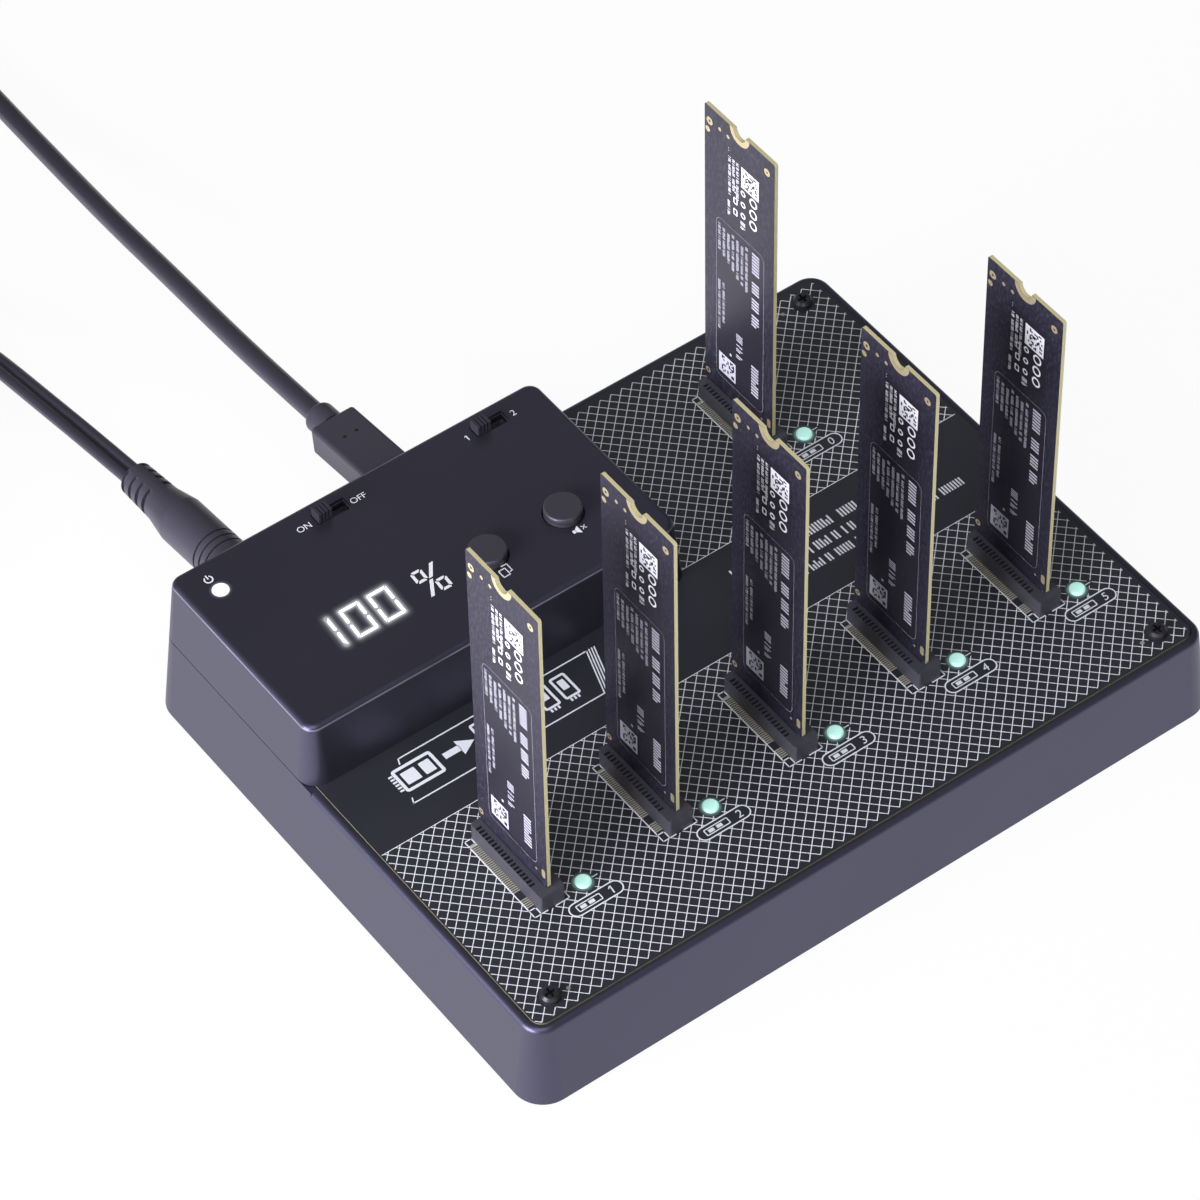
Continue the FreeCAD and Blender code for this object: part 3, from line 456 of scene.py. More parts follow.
def white_floor():
    look = bpy.data.materials.new("white_sweep")
    look.use_nodes = True
    tree = look.node_tree
    paper = tree.nodes["Principled BSDF"]
    paper.inputs["Base Color"].default_value = (0.93, 0.93, 0.94, 1)
    paper.inputs["Roughness"].default_value = 0.8
    white = tree.nodes.new("ShaderNodeEmission")
    white.inputs["Color"].default_value = (1, 1, 1, 1)
    ray = tree.nodes.new("ShaderNodeLightPath").outputs
    seen = calc(tree, "MAXIMUM", ray["Is Camera Ray"], ray["Is Glossy Ray"])
    seen = calc(tree, "MAXIMUM", seen, ray["Is Transmission Ray"])
    mix = tree.nodes.new("ShaderNodeMixShader")
    tree.links.new(calc(tree, "MULTIPLY", seen, paper_share), mix.inputs["Fac"])
    tree.links.new(paper.outputs["BSDF"], mix.inputs[1])
    tree.links.new(white.outputs["Emission"], mix.inputs[2])
    tree.links.new(mix.outputs["Shader"], tree.nodes["Material Output"].inputs["Surface"])
    return look


floor_mesh.materials.append(white_floor())
print("floor dressed")

# %% [markdown]
# The grain group gives three things that change over the surface: a tint to multiply a colour by,
# the height of the fine texture for a bump, and an offset to the roughness. The two noises differ
# a hundredfold in size, because the texture of a mould is fine and the drift of its tone is broad.

# %% Grain group
fine_scale = 3500
broad_scale = 28
rough_drift = 0.12
grain_depth = 0.03 * MM


def make_grain():
    group, given, result = new_group(
        "moulded_grain",
        [("Size", "NodeSocketFloat", 1.0), ("Drift", "NodeSocketFloat", 0.1)],
        [("Tint", "NodeSocketFloat"), ("Height", "NodeSocketFloat"), ("Rough", "NodeSocketFloat")],
    )
    place = coordinates(group)
    fine = noise(group, place, calc(group, "MULTIPLY", given.outputs["Size"], fine_scale), 3)
    broad = calc(group, "SUBTRACT", noise(group, place, broad_scale, 2), 0.5)
    tint = calc(group, "MULTIPLY_ADD", broad, given.outputs["Drift"], 1.0)
    group.links.new(tint, result.inputs["Tint"])
    group.links.new(fine, result.inputs["Height"])
    group.links.new(calc(group, "MULTIPLY", broad, rough_drift), result.inputs["Rough"])
    return group


moulded_grain = make_grain()


def start_look(name, colour, roughness, metallic=0.0, grain_size=1.0, bump=0.15, drift=0.2,
               specular=0.5, tint=(1, 1, 1, 1), coat=0.0, ior=1.5):
    """A material with grain. Returns it, its node tree, its shader and the colour so far."""
    look = bpy.data.materials.new(name)
    look.use_nodes = True
    tree = look.node_tree
    shader = tree.nodes["Principled BSDF"]
    for socket_name, value in (
        ("Specular IOR Level", specular), ("Specular Tint", tint), ("Metallic", metallic),
        ("IOR", ior), ("Coat Weight", coat), ("Coat Roughness", roughness),
    ):
        shader.inputs[socket_name].default_value = value
    grain = tree.nodes.new("ShaderNodeGroup")
    grain.node_tree = moulded_grain
    grain.inputs["Size"].default_value = grain_size
    grain.inputs["Drift"].default_value = drift
    shade = blend(tree, 1.0, colour, grain.outputs["Tint"], "MULTIPLY")
    tree.links.new(shade, shader.inputs["Base Color"])
    tree.links.new(calc(tree, "ADD", grain.outputs["Rough"], roughness), shader.inputs["Roughness"])
    raised = tree.nodes.new("ShaderNodeBump")
    raised.inputs["Strength"].default_value = bump
    raised.inputs["Distance"].default_value = grain_depth
    tree.links.new(grain.outputs["Height"], raised.inputs["Height"])
    tree.links.new(raised.outputs["Normal"], shader.inputs["Normal"])
    return look, tree, shader, shade


def plain_look(*values, **more):
    return start_look(*values, **more)[0]


def dress(look, *node_names):
    """Gives CAD nodes a material in place of their own."""
    for name in node_names:
        mesh = nodes[name].data
        mesh.materials.clear()
        mesh.materials.append(look)


print("group sockets", [s.name for s in moulded_grain.interface.items_tree])

# %% [markdown]
# The case is moulded in black plastic with a violet cast. Its walls look far lighter than its tops,
# because they mirror the white floor at a shallow angle: a black plastic shows mostly what it
# reflects. So the base colour is almost black and the specular level is high, and the light does
# the rest. On the box a painted highlight runs along the rounding of the top: a pale, uneven line.

# %% Case, rubber, buttons and leads
violet = (0.74, 0.69, 1.0, 1)
pale_violet = (0.8, 0.76, 1.0, 1)
case_tint = (0.53, 0.50, 0.92, 1)
case_black = srgb(30, 30, 31)
case_gloss = {"specular": 1.0, "tint": case_tint, "coat": 0.15, "ior": 1.65}
dress(plain_look("case_plastic", case_black, 0.42, **case_gloss), "base_tray")
# A painted highlight: a pale line in the base colour along the rounding of the box's top.
painted_highlight_below_top = 0.8 * MM
painted_highlight_half_width = 0.22 * MM
painted_highlight_grey = srgb(132, 130, 140)


def box_plastic():
    """The same plastic, with a painted highlight: a pale line of uneven strength where the box's top rounds
    over.
    """
    look, tree, shader, shade = start_look("box_plastic", case_black, 0.42, **case_gloss)
    place = coordinates(tree)
    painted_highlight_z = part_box("control_box")[1].z - painted_highlight_below_top
    away = calc(tree, "ABSOLUTE", calc(tree, "SUBTRACT", split(tree, place)["Z"], painted_highlight_z))
    painted_highlight = calc(tree, "SUBTRACT", 1.0, calc(tree, "MULTIPLY", away, 1 / painted_highlight_half_width))
    uneven = calc(tree, "ADD", noise(tree, place, 160, 2), 0.25)
    painted_highlight = calc(tree, "MULTIPLY", calc(tree, "MAXIMUM", painted_highlight, 0.0), uneven)
    # Painted highlight: the base colour turns pale grey along the rounding of the top.
    tree.links.new(blend(tree, painted_highlight, shade, painted_highlight_grey), shader.inputs["Base Color"])
    return look


dress(box_plastic(), "control_box")
dress(plain_look("foot_rubber", srgb(30, 30, 32), 0.8), "rubber_feet")
small_gloss = {"specular": 0.8, "tint": pale_violet}
dress(plain_look("knob_plastic", srgb(47, 46, 52), 0.38, **small_gloss),
      "power_switch_knob", "mode_switch_knob")
dress(plain_look("button_plastic", srgb(56, 55, 60), 0.42, **small_gloss), "start_button", "buzzer_button")
plug_look = plain_look("plug_moulding", srgb(56, 54, 63), 0.4, bump=0.2, **small_gloss)
dress(plug_look, "usb_plug", "dc_plug", "usb_far_plug", "power_adapter")
jacket_look = plain_look("lead_jacket", srgb(42, 41, 49), 0.38, bump=0.08, specular=0.9,
                         tint=pale_violet, ior=1.6)
for lead in (usb_cable, dc_lead):
    lead.data.materials.clear()
    lead.data.materials.append(jacket_look)
print("case, buttons, plugs and leads dressed")

# %% [markdown]
# Inside and under the boards are chips in matt epoxy, black steel screws, brass pillars and nickel
# shells. Metals use the same grain at a small size, which gives them a faintly uneven gloss. The
# legs of the sockets are tinned over gold: pale, with a warm tone.

# %% Chips, screws and metals
slots = ["source", "target_1", "target_2", "target_3", "target_4", "target_5"]
dress(plain_look("chip_epoxy", srgb(36, 36, 39), 0.6, grain_size=0.6),
      *[name + "_card_chips" for name in slots], "main_chips", "display_module", "dc_jack", "buzzer",
      "board_link", "button_switches")
dress(plain_look("socket_nylon", srgb(62, 62, 71), 0.42, specular=0.7), *[name + "_socket" for name in slots])
dress(plain_look("screw_steel", srgb(60, 60, 65), 0.32, metallic=0.6, grain_size=0.5),
      "top_board_screws", "control_box_screws", "standoff_screws")
dress(plain_look("pillar_brass", srgb(190, 160, 96), 0.3, metallic=1.0), "board_standoffs")
dress(plain_look("nickel_shell", srgb(190, 190, 194), 0.3, metallic=1.0),
      "usb_port", "power_switch_body", "mode_switch_body")
dress(plain_look("leg_tin", srgb(196, 191, 176), 0.4, metallic=0.4), "socket_legs")
gold_look = plain_look("gold_plate", srgb(222, 207, 166), 0.35, metallic=0.7)
print("chips, screws and metals dressed")

# %% [markdown]
# A lit lamp in a photograph is brighter than its surroundings and has a soft rim of stray light.
# The lamp itself is an emitting plastic. The rim is a thin sheet just above the surface, whose
# opacity is painted on its points from the distance to the lamp, so it needs no picture and no
# trick in the camera. The power lamp sits deep under a lens, so the lens is dimmer at its rim.

# %% Lamps on the boards
def lit_look(name, colour, strength):
    """A plastic that shines in its own colour."""
    look, tree, shader, shade = start_look(name, colour, 0.35)
    shader.inputs["Emission Color"].default_value = colour
    shader.inputs["Emission Strength"].default_value = strength
    return look


def glow_look(name, colour, strength):
    """Only light: black, and as opaque as the glow painted on its points."""
    look, tree, shader, shade = start_look(name, (0.0, 0.0, 0.0, 1), 0.9, specular=0.0)
    painted = tree.nodes.new("ShaderNodeAttribute")
    painted.attribute_name = "glow"
    tree.links.new(painted.outputs["Fac"], shader.inputs["Alpha"])
    shader.inputs["Emission Color"].default_value = colour
    shader.inputs["Emission Strength"].default_value = strength
    return look


mint = srgb(184, 234, 223)
lamp_white = srgb(250, 252, 255)
lens_grey = srgb(70, 70, 76)
lens_white_radius = 1.45 * MM
lens_rim_width = 0.4 * MM
dress(lit_look("status_light", mint, 0.5), "status_lights")


def lens_look():
    """White in the middle and dimmer at the rim, as a lens over one small lamp is."""
    look, tree, shader, shade = start_look("power_light", srgb(150, 150, 156), 0.35)
    low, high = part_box("power_lens")
    away = tree.nodes.new("ShaderNodeVectorMath")
    away.operation = "DISTANCE"
    away.inputs[1].default_value = ((low.x + high.x) / 2, (low.y + high.y) / 2, high.z)
    tree.links.new(coordinates(tree), away.inputs[0])
    dim = calc(tree, "SUBTRACT", away.outputs["Value"], lens_white_radius)
    dim = clamp(tree, calc(tree, "MULTIPLY", dim, 1 / lens_rim_width))
    shade = blend(tree, dim, lamp_white, lens_grey)
    tree.links.new(shade, shader.inputs["Emission Color"])
    tree.links.new(shade, shader.inputs["Base Color"])
    shader.inputs["Emission Strength"].default_value = 1.2
    return look


dress(lens_look(), "power_lens")
mint_glow = glow_look("mint_glow", mint, 0.9)
white_glow = glow_look("white_glow", lamp_white, 1.0)
print("lamps dressed")

# %% [markdown]
# Printing is drawn in millimetres on a flat sheet and then laid on its surface by one matrix: on the
# top board, on the box or on the face of a card. Three stamps make nearly everything: a bar, a
# rounded outline and a disc. Each starts from one bmesh operator, and an inset leaves only a line of
# it where it is hollow. The printed ink lies 0.03 mm above what carries it, which is about the
# thickness of real screen ink.

# %% Stamps for printing
ink_lift = 0.03
stroke_share = 0.27
double_chance = 0.75
short_share = 0.35
group_gap = 0.7


def sheet_on(origin, across, up):
    """The matrix that lays a drawing in millimetres on a surface."""
    across = Vector(across)
    up = Vector(up)
    turn = Matrix((across, up, across.cross(up))).transposed().to_4x4()
    return Matrix.Translation(Vector(origin)) @ turn @ Matrix.Scale(MM, 4)


def stamp_bar(sheet, x0, y0, x1, y1, slant=0.0):
    """A rectangle whose top edge is shifted right by slant times its height."""
    wide = x1 - x0
    high = y1 - y0
    place = Matrix(((wide, slant * high, 0, (x0 + x1) / 2), (0, high, 0, (y0 + y1) / 2),
                    (0, 0, 1, 0), (0, 0, 0, 1)))
    return bmesh.ops.create_grid(sheet, x_segments=1, y_segments=1, size=0.5, matrix=place)["verts"]


def hollow(sheet, faces, line):
    """Leaves only a line of the given width along the rim of the faces, and returns its faces."""
    rim = bmesh.ops.inset_region(sheet, faces=faces, thickness=line, use_boundary=True,
                                 use_even_offset=True)["faces"]
    bmesh.ops.delete(sheet, geom=faces, context="FACES_ONLY")
    return rim


def stamp_outline(sheet, x, y, wide, high, corner, line=None):
    """A rounded rectangle around (x, y), filled or as a line of the given width."""
    made = stamp_bar(sheet, x - wide / 2, y - high / 2, x + wide / 2, y + high / 2)
    edges = {e for v in made for e in v.link_edges}
    rounded = bmesh.ops.bevel(sheet, geom=made + list(edges), offset=corner, segments=5, profile=0.5,
                              affect="VERTICES", material=-1)
    if line:
        hollow(sheet, list({f for v in rounded["verts"] for f in v.link_faces}), line)


def stamp_disc(sheet, x, y, radius, hole=0.0):
    """A disc or, with the radius of a hole, a ring."""
    made = bmesh.ops.create_circle(sheet, cap_ends=True, segments=32, radius=radius,
                                   matrix=Matrix.Translation((x, y, 0)))["verts"]
    if hole:
        hollow(sheet, list({f for v in made for f in v.link_faces}), radius - hole)


def stamp_text(sheet, words, x, y, high, slant=0.0):
    """Upright lettering whose capitals are high millimetres tall, centred on x, standing on y."""
    curve = bpy.data.curves.new("lettering", "FONT")
    curve.body = words
    curve.shear = slant
    letters = bpy.data.objects.new("lettering", curve)
    mesh = bpy.data.meshes.new_from_object(letters)
    xs = [v.co.x for v in mesh.vertices]
    ys = [v.co.y for v in mesh.vertices]
    size = Matrix.Scale(high / (max(ys) - min(ys)), 4)
    to_origin = Matrix.Translation((-(max(xs) + min(xs)) / 2, -min(ys), 0))
    mesh.transform(Matrix.Translation((x, y, 0)) @ size @ to_origin)
    sheet.from_mesh(mesh)
    bpy.data.meshes.remove(mesh)
    bpy.data.objects.remove(letters)
    bpy.data.curves.remove(curve)


def stamp_row(sheet, low, high, start, stop, pitch, seed, downwards=True):
    """A row of upright strokes in groups of two to eight, which runs down or to the right."""
    chance = random.Random(seed)
    thick = pitch * stroke_share
    cut_short = short_share * (high - low)
    place = start
    while place < stop - pitch:
        for stroke in range(chance.randint(2, 8)):
            if place > stop - pitch:
                break
            shorter = chance.choice((0.0, 0.0, cut_short))
            strokes = [(place, high)]
            if chance.random() < double_chance:
                strokes.append((place + 0.5 * pitch, high - shorter))
            for at, top in strokes:
                if downwards:
                    stamp_bar(sheet, low, -at - thick, top, -at)
                else:
                    stamp_bar(sheet, at, low, at + thick, top)
            place += pitch
        place += pitch * group_gap


def stamp_one(sheet, x, y, high, slant=0.0):
    """A figure 1 of an upright and a flag, because the font's own is a bare stroke."""
    line = high * 0.15
    flag_x = x - high * 0.13
    stamp_bar(sheet, x - line / 2, y, x + line / 2, y + high, slant)
    stamp_bar(sheet, flag_x - line * 0.6, y + high * 0.7, flag_x + line * 0.6, y + high, 0.95)


def lay(sheet, name, place, body, slot, look):
    """Lays the drawing on its surface and turns it into a piece."""
    bmesh.ops.remove_doubles(sheet, verts=sheet.verts, dist=0.001)
    bmesh.ops.recalc_face_normals(sheet, faces=sheet.faces)
    for face in sheet.faces:
        if face.normal.z < 0:
            face.normal_flip()
    sheet.transform(place)
    mesh = bpy.data.meshes.new(name)
    sheet.to_mesh(mesh)
    sheet.free()
    mesh.materials.append(look)
    piece = add_object(name, mesh)
    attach(piece, body)


def ink_look(name, colour):
    return plain_look(name, colour, 0.55, grain_size=0.5, drift=0.3, specular=0.3)


board_ink = ink_look("board_ink", srgb(226, 229, 236))
box_ink = ink_look("box_ink", srgb(238, 239, 243))
card_ink = ink_look("card_ink", srgb(184, 184, 196))
label_ink = ink_look("label_ink", srgb(228, 228, 234))
print("four inks ready")

# %% [markdown]
# The top board is a circuit board with black solder mask, printed all over with a crossed lattice of
# white lines. Real ink lines this regular are easiest as a pattern in the material: the distance to
# the nearest line follows from the Object coordinates with a ping-pong. The lattice leaves a plain
# band across the board and a ring around each screw. The cut edge of the board shows its glass fibre.

# %% Board material with its lattice
board_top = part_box("top_board")[1].z
lattice_pitch = 2.705
lattice_flatten = 0.989
lattice_line = 0.165
rising_start = 1.10
falling_start = 0.37
band_front = -10.0
band_back = 12.87
lattice_left = -78.7
lattice_right = 78.1
lattice_front = -59.85
lattice_back = 59.2
screw_x = 73.0
screw_y = 56.0
screw_clear = 2.6
mask_black = srgb(33, 35, 43)
lattice_ink = srgb(236, 238, 244)
fibre = srgb(130, 123, 98)


def make_lattice():
    """Outputs where white lines lie on the board, from the place in millimetres."""
    group, given, result = new_group("board_lattice", [("Place", "NodeSocketVector", (0, 0, 0))],
                                     [("Ink", "NodeSocketFloat")])

    def do(operation, *values):
        return calc(group, operation, *values)

    def within(value, low, high):
        return do("MULTIPLY", do("GREATER_THAN", value, low), do("LESS_THAN", value, high))

    def line_at(value):
        return within(value, -lattice_line / 2, lattice_line / 2)

    def lines(along, start):
        away = do("PINGPONG", do("SUBTRACT", along, start), lattice_pitch / 2)
        return do("LESS_THAN", away, lattice_line / 2 * 2 ** 0.5)

    parts = split(group, given.outputs["Place"])
    x = do("MULTIPLY", parts["X"], 1000)
    y = do("MULTIPLY", parts["Y"], 1000)
    flattened = do("MULTIPLY", y, lattice_flatten)
    crossed = do("MAXIMUM", lines(do("ADD", x, flattened), rising_start),
                 lines(do("SUBTRACT", x, flattened), falling_start))
    off_band = do("SUBTRACT", 1.0, within(y, band_front, band_back))
    sideways = do("SUBTRACT", do("ABSOLUTE", x), screw_x)
    upwards = do("SUBTRACT", do("ABSOLUTE", y), screw_y)
    away = do("SQRT", do("ADD", do("POWER", sideways, 2), do("POWER", upwards, 2)))
    clear = do("GREATER_THAN", away, screw_clear)
    borders = do("MAXIMUM", line_at(do("SUBTRACT", y, band_front)), line_at(do("SUBTRACT", y, band_back)))
    pattern = do("MULTIPLY", do("MULTIPLY", crossed, off_band), clear)
    field = do("MULTIPLY", within(x, lattice_left, lattice_right), within(y, lattice_front, lattice_back))
    group.links.new(do("MULTIPLY", do("MAXIMUM", pattern, borders), field), result.inputs["Ink"])
    return group


def mask_look(name, lattice=None):
    """Black solder mask on the flat faces of a board and glass fibre on its edges."""
    look, tree, shader, shade = start_look(name, mask_black, 0.45, grain_size=0.4, bump=0.06,
                                           drift=0.35, specular=0.8)
    upward = split(tree, coordinates(tree, "Normal"))["Z"]
    if lattice:
        pattern = tree.nodes.new("ShaderNodeGroup")
        pattern.node_tree = lattice
        tree.links.new(coordinates(tree), pattern.inputs["Place"])
        inked = calc(tree, "MULTIPLY", pattern.outputs["Ink"], calc(tree, "GREATER_THAN", upward, 0.5))
        shade = blend(tree, inked, shade, lattice_ink)
    side = calc(tree, "LESS_THAN", calc(tree, "ABSOLUTE", upward), 0.5)
    tree.links.new(blend(tree, side, shade, fibre), shader.inputs["Base Color"])
    return look


dress(mask_look("board_mask", make_lattice()), "top_board")
bare_board_look = mask_look("bare_board_mask")
dress(bare_board_look, "control_board")
print("board top at", round(board_top, 4))

# %% [markdown]
# Around each socket and behind each number the lattice is interrupted. These clearings are thin
# plain patches of the same mask, with the white outlines and numbers on top. The number of each
# place stands in a pill with a little card beside it.

# %% Clearings and socket marks
card_box = {name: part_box(name + "_card") for name in slots}
rows = {name: (low + high) / 2 for name, (low, high) in card_box.items()}


def sheet_above(height, lift=ink_lift):
    """The sheet for a print that lies flat on a top at this height."""
    return sheet_on((0, 0, height + lift * MM), (1, 0, 0), (0, 1, 0))


outline_left = -4.55
outline_right = 3.75
outline_front = -12.5
outline_back = 10.3
opening_left = -1.35
opening_right = 0.35
thin_line = 0.25
tab_x = outline_left + 1.5
back_tab_y = outline_back - 2.0
front_tab_y = outline_front + 1.9
light_x = 7.75
light_y = -11.0
pill_x = 7.4
pill_y = -15.6
pill = (12.2, 3.4, 1.69)
figure_high = 1.85
figure_drop = 0.92
figure_slant = 0.12


def stamp_clearing(sheet, x, y):
    """The plain mask around one socket, its light, the dash beside the light and its pill."""
    stamp_bar(sheet, x + outline_left, y + outline_front, x + outline_right, y + outline_back)
    stamp_disc(sheet, x + light_x, y + light_y, 2.4)
    stamp_bar(sheet, x + light_x + 1.4, y + light_y - 0.6, x + light_x + 3.6, y + light_y + 0.6)
    stamp_outline(sheet, x + pill_x, y + pill_y, *pill)


def stamp_marks(sheet, x, y, number):
    """The white outline of one socket with two small tabs, and its pill with a card and a number."""
    for low_x, low_y, high_x, high_y in (
        (outline_left, outline_front, outline_left + thin_line, outline_back),
        (outline_right - thin_line, outline_front, outline_right, outline_back),
        (outline_left, outline_back - thin_line, outline_right, outline_back),
        (outline_left, outline_front, opening_left, outline_front + thin_line),
        (opening_right, outline_front, outline_right, outline_front + thin_line),
        (outline_left, back_tab_y, tab_x, back_tab_y + thin_line),
        (tab_x, back_tab_y, tab_x + thin_line, outline_back),
        (outline_left, front_tab_y, tab_x, front_tab_y + thin_line),
        (tab_x, outline_front, tab_x + thin_line, front_tab_y),
        (light_x + 2.0, light_y - 0.13, light_x + 3.3, light_y + 0.13),
        (pill_x - 3.6, pill_y - 0.4, pill_x - 2.3, pill_y + 0.4),
        (pill_x - 1.7, pill_y - 0.4, pill_x - 0.4, pill_y + 0.4),
    ):
        stamp_bar(sheet, x + low_x, y + low_y, x + high_x, y + high_y)
    stamp_outline(sheet, x + pill_x, y + pill_y, *pill, 0.28)
    stamp_outline(sheet, x + pill_x - 1.6, y + pill_y, 5.6, 1.7, 0.3, 0.24)
    figure_y = y + pill_y - figure_drop
    if number == 1:
        stamp_one(sheet, x + pill_x + 3.7, figure_y, figure_high, figure_slant)
    else:
        stamp_text(sheet, str(number), x + pill_x + 3.6, figure_y, figure_high, figure_slant)


board_sheet = sheet_above(board_top)
clearings = bmesh.new()
marks = bmesh.new()
for number, middle in enumerate(rows.values()):
    stamp_clearing(clearings, middle.x / MM, middle.y / MM)
    stamp_marks(marks, middle.x / MM, middle.y / MM, number)
clearing_sheet = sheet_above(board_top, 0.5 * ink_lift)
lay(clearings, "board_clearings", clearing_sheet, "base", "board_black", bare_board_look)
lay(marks, "socket_marks", board_sheet, "base", "board_black", board_ink)
print("marks for", len(rows), "sockets")

# %% [markdown]
# The plain band carries a pictogram: one card, an arrow and a row of copies, in a frame whose right
# end is four leaning strokes. To its right are three rows of short upright strokes.

# %% Title band
title = bmesh.new()
frame_lean = 0.33
frame_low = -3.5
frame_high = 7.5
frame_line = 0.3
stamp_bar(title, -62.7, frame_high - frame_line, -17.8, frame_high)
stamp_bar(title, -63.1, frame_high - 1.5, -63.1 + frame_line, frame_high, 0.4)
stamp_bar(title, -66.7, frame_low, -21.6, frame_low + frame_line)
stamp_bar(title, -66.5, frame_low, -66.5 + frame_line, frame_low + 1.5, 0.4)
for i in range(4):
    stroke_x = -19.9 + i * 0.62
    stamp_bar(title, stroke_x, frame_low, stroke_x + frame_line, frame_high, frame_lean)


def stamp_card_lying(sheet, x, y):
    """The source card on its side: outline, two chips, and the teeth of its tongue at the left."""
    stamp_outline(sheet, x, y, 9.2, 6.2, 0.7, 0.7)
    stamp_outline(sheet, x - 1.7, y, 3.2, 3.2, 0.2)
    stamp_outline(sheet, x + 2.1, y, 2.4, 3.2, 0.2)
    for tooth in range(6):
        stamp_bar(sheet, x - 5.6, y - 2.25 + tooth * 0.8, x - 4.7, y - 1.8 + tooth * 0.8)


def stamp_card_standing(sheet, x, y):
    """A copy on its end: outline, one chip and three teeth below."""
    stamp_outline(sheet, x, y, 3.7, 6.2, 0.6, 0.55)
    stamp_outline(sheet, x, y + 0.5, 1.5, 2.6, 0.15)
    for tooth in range(3):
        stamp_bar(sheet, x - 1.1 + tooth * 0.85, y - 3.95, x - 0.65 + tooth * 0.85, y - 3.2)


stamp_card_lying(title, -61.4, 2.5)
stamp_bar(title, -55.4, 1.75, -51.6, 3.25)
arrow_head = Matrix.Translation((-50.6, 2.5, 0)) @ Matrix.Rotation(math.radians(-90), 4, "Z")
bmesh.ops.create_circle(title, cap_ends=True, segments=3, radius=2.3, matrix=arrow_head)
for copy in range(5):
    stamp_card_standing(title, -45.6 + 4.75 * copy, 2.75)
for low, high, start, stop, pitch, seed in (
    (4.7, 7.0, 16.4, 48.7, 1.5, 3),
    (0.7, 3.0, 27.0, 46.0, 1.5, 4),
    (-3.0, -0.9, 27.0, 68.6, 1.4, 5),
):
    stamp_row(title, low, high, start, stop, pitch, seed, downwards=False)
print("title strokes", len(title.faces))
lay(title, "title_band", board_sheet, "base", "board_black", board_ink)

fiducials = bmesh.new()
for x, y in ((-69.2, -56.4), (69.0, -56.3), (67.7, 55.8)):
    stamp_disc(fiducials, x, y, 0.45)
point_look = plain_look("point_tin", srgb(150, 150, 154), 0.4)
lay(fiducials, "fiducials", board_sheet, "base", "gold_plate", point_look)

# %% [markdown]
# The box has a lit number under its dark top. A leaning box is inset into a ring, the ring is cut at
# its corners and at half its height, each piece is inset alone, which leaves small gaps between the
# strokes, and a bevel of their end points gives them their cut ends. The stray light around it is
# the painted sheet: its opacity falls with the distance to the nearest stroke.

# %% Lit number and its glow
box_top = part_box("control_box")[1].z
box_sheet = sheet_above(box_top)
glow_sheet = sheet_above(box_top, 0.5 * ink_lift)
number_lean = 0.065
number_low = 25.55
number_high = 33.75
middle_y = (number_low + number_high) / 2
stroke_width = 0.88
stroke_gap = 0.24
middle_gap = 0.12
digit_wide = 4.85


def stamp_strokes(sheet, x0, y0, x1, y1, width, halved=False, right_of=None):
    """A leaning box in separate strokes: a ring cut at its corners and, if halved, at mid height."""
    mid_height = (y0 + y1) / 2
    outer = stamp_bar(sheet, x0, y0, x1, y1, number_lean)[0].link_faces[0]
    ring = hollow(sheet, [outer], width)
    if halved:
        corners = {v for f in ring for v in f.verts}
        edges = {e for f in ring for e in f.edges}
        cut = bmesh.ops.bisect_plane(sheet, geom=list(corners) + list(edges) + ring,
                                     plane_co=(0, mid_height, 0), plane_no=(0, 1, 0))
        ring = [f for f in cut["geom"] if isinstance(f, bmesh.types.BMFace)]
    spare = [f for f in ring if right_of is not None and f.calc_center_median().x <= right_of]
    ring = [f for f in ring if f not in spare]
    rims = bmesh.ops.inset_individual(sheet, faces=ring, thickness=stroke_gap / 2, use_even_offset=True)
    rims = [f for f in rims["faces"] if f not in ring]
    bmesh.ops.delete(sheet, geom=spare, context="FACES")
    bmesh.ops.delete(sheet, geom=rims, context="FACES")
    if halved:
        tips = [v for f in ring for v in f.verts if abs(v.co.y - mid_height) < stroke_gap]
        for tip in tips:
            tip.co.y += math.copysign(middle_gap, tip.co.y - mid_height)
    else:
        tips = [v for f in ring for v in max(f.edges, key=lambda e: e.calc_length()).verts]
    tip_edges = {e for v in tips for e in v.link_edges}
    bmesh.ops.bevel(sheet, geom=tips + list(tip_edges), offset=width / 3, segments=1, profile=0.5,
                    affect="VERTICES", material=-1)


def leaning(x, y):
    return Vector((x + number_lean * (y - middle_y), y))


digits = bmesh.new()
lit = []
low = number_low + stroke_width / 2
high = number_high - stroke_width / 2
for middle_x, only_right in ((-62.53, True), (-55.48, False), (-49.0, False)):
    left = middle_x - digit_wide / 2
    right = middle_x + digit_wide / 2
    right_of = middle_x + 1.2 if only_right else None
    stamp_strokes(digits, left, number_low, right, number_high, stroke_width, True, right_of)
    left += stroke_width / 2
    right -= stroke_width / 2
    lit.append((leaning(right, low), leaning(right, high)))
    if not only_right:
        lit.append((leaning(left, low), leaning(left, high)))
        lit.append((leaning(left, low), leaning(right, low)))
        lit.append((leaning(left, high), leaning(right, high)))
number_look = lit_look("number_light", lamp_white, 1.3)
lay(digits, "lit_number", box_sheet, "base", "lens_white", number_look)


def away_from(point, a, b):
    """How far a point is from the line between two others."""
    along = b - a
    share = max(0.0, min(1.0, (point - a).dot(along) / along.length_squared))
    return (point - a - along * share).length


def fall_off(away, reach, strength):
    """Stray light: full over the lamp itself and soon gone beside it."""
    return strength * math.exp(-(max(away, 0) / reach) ** 2)


glow_step = 0.3
too_dark = 0.01


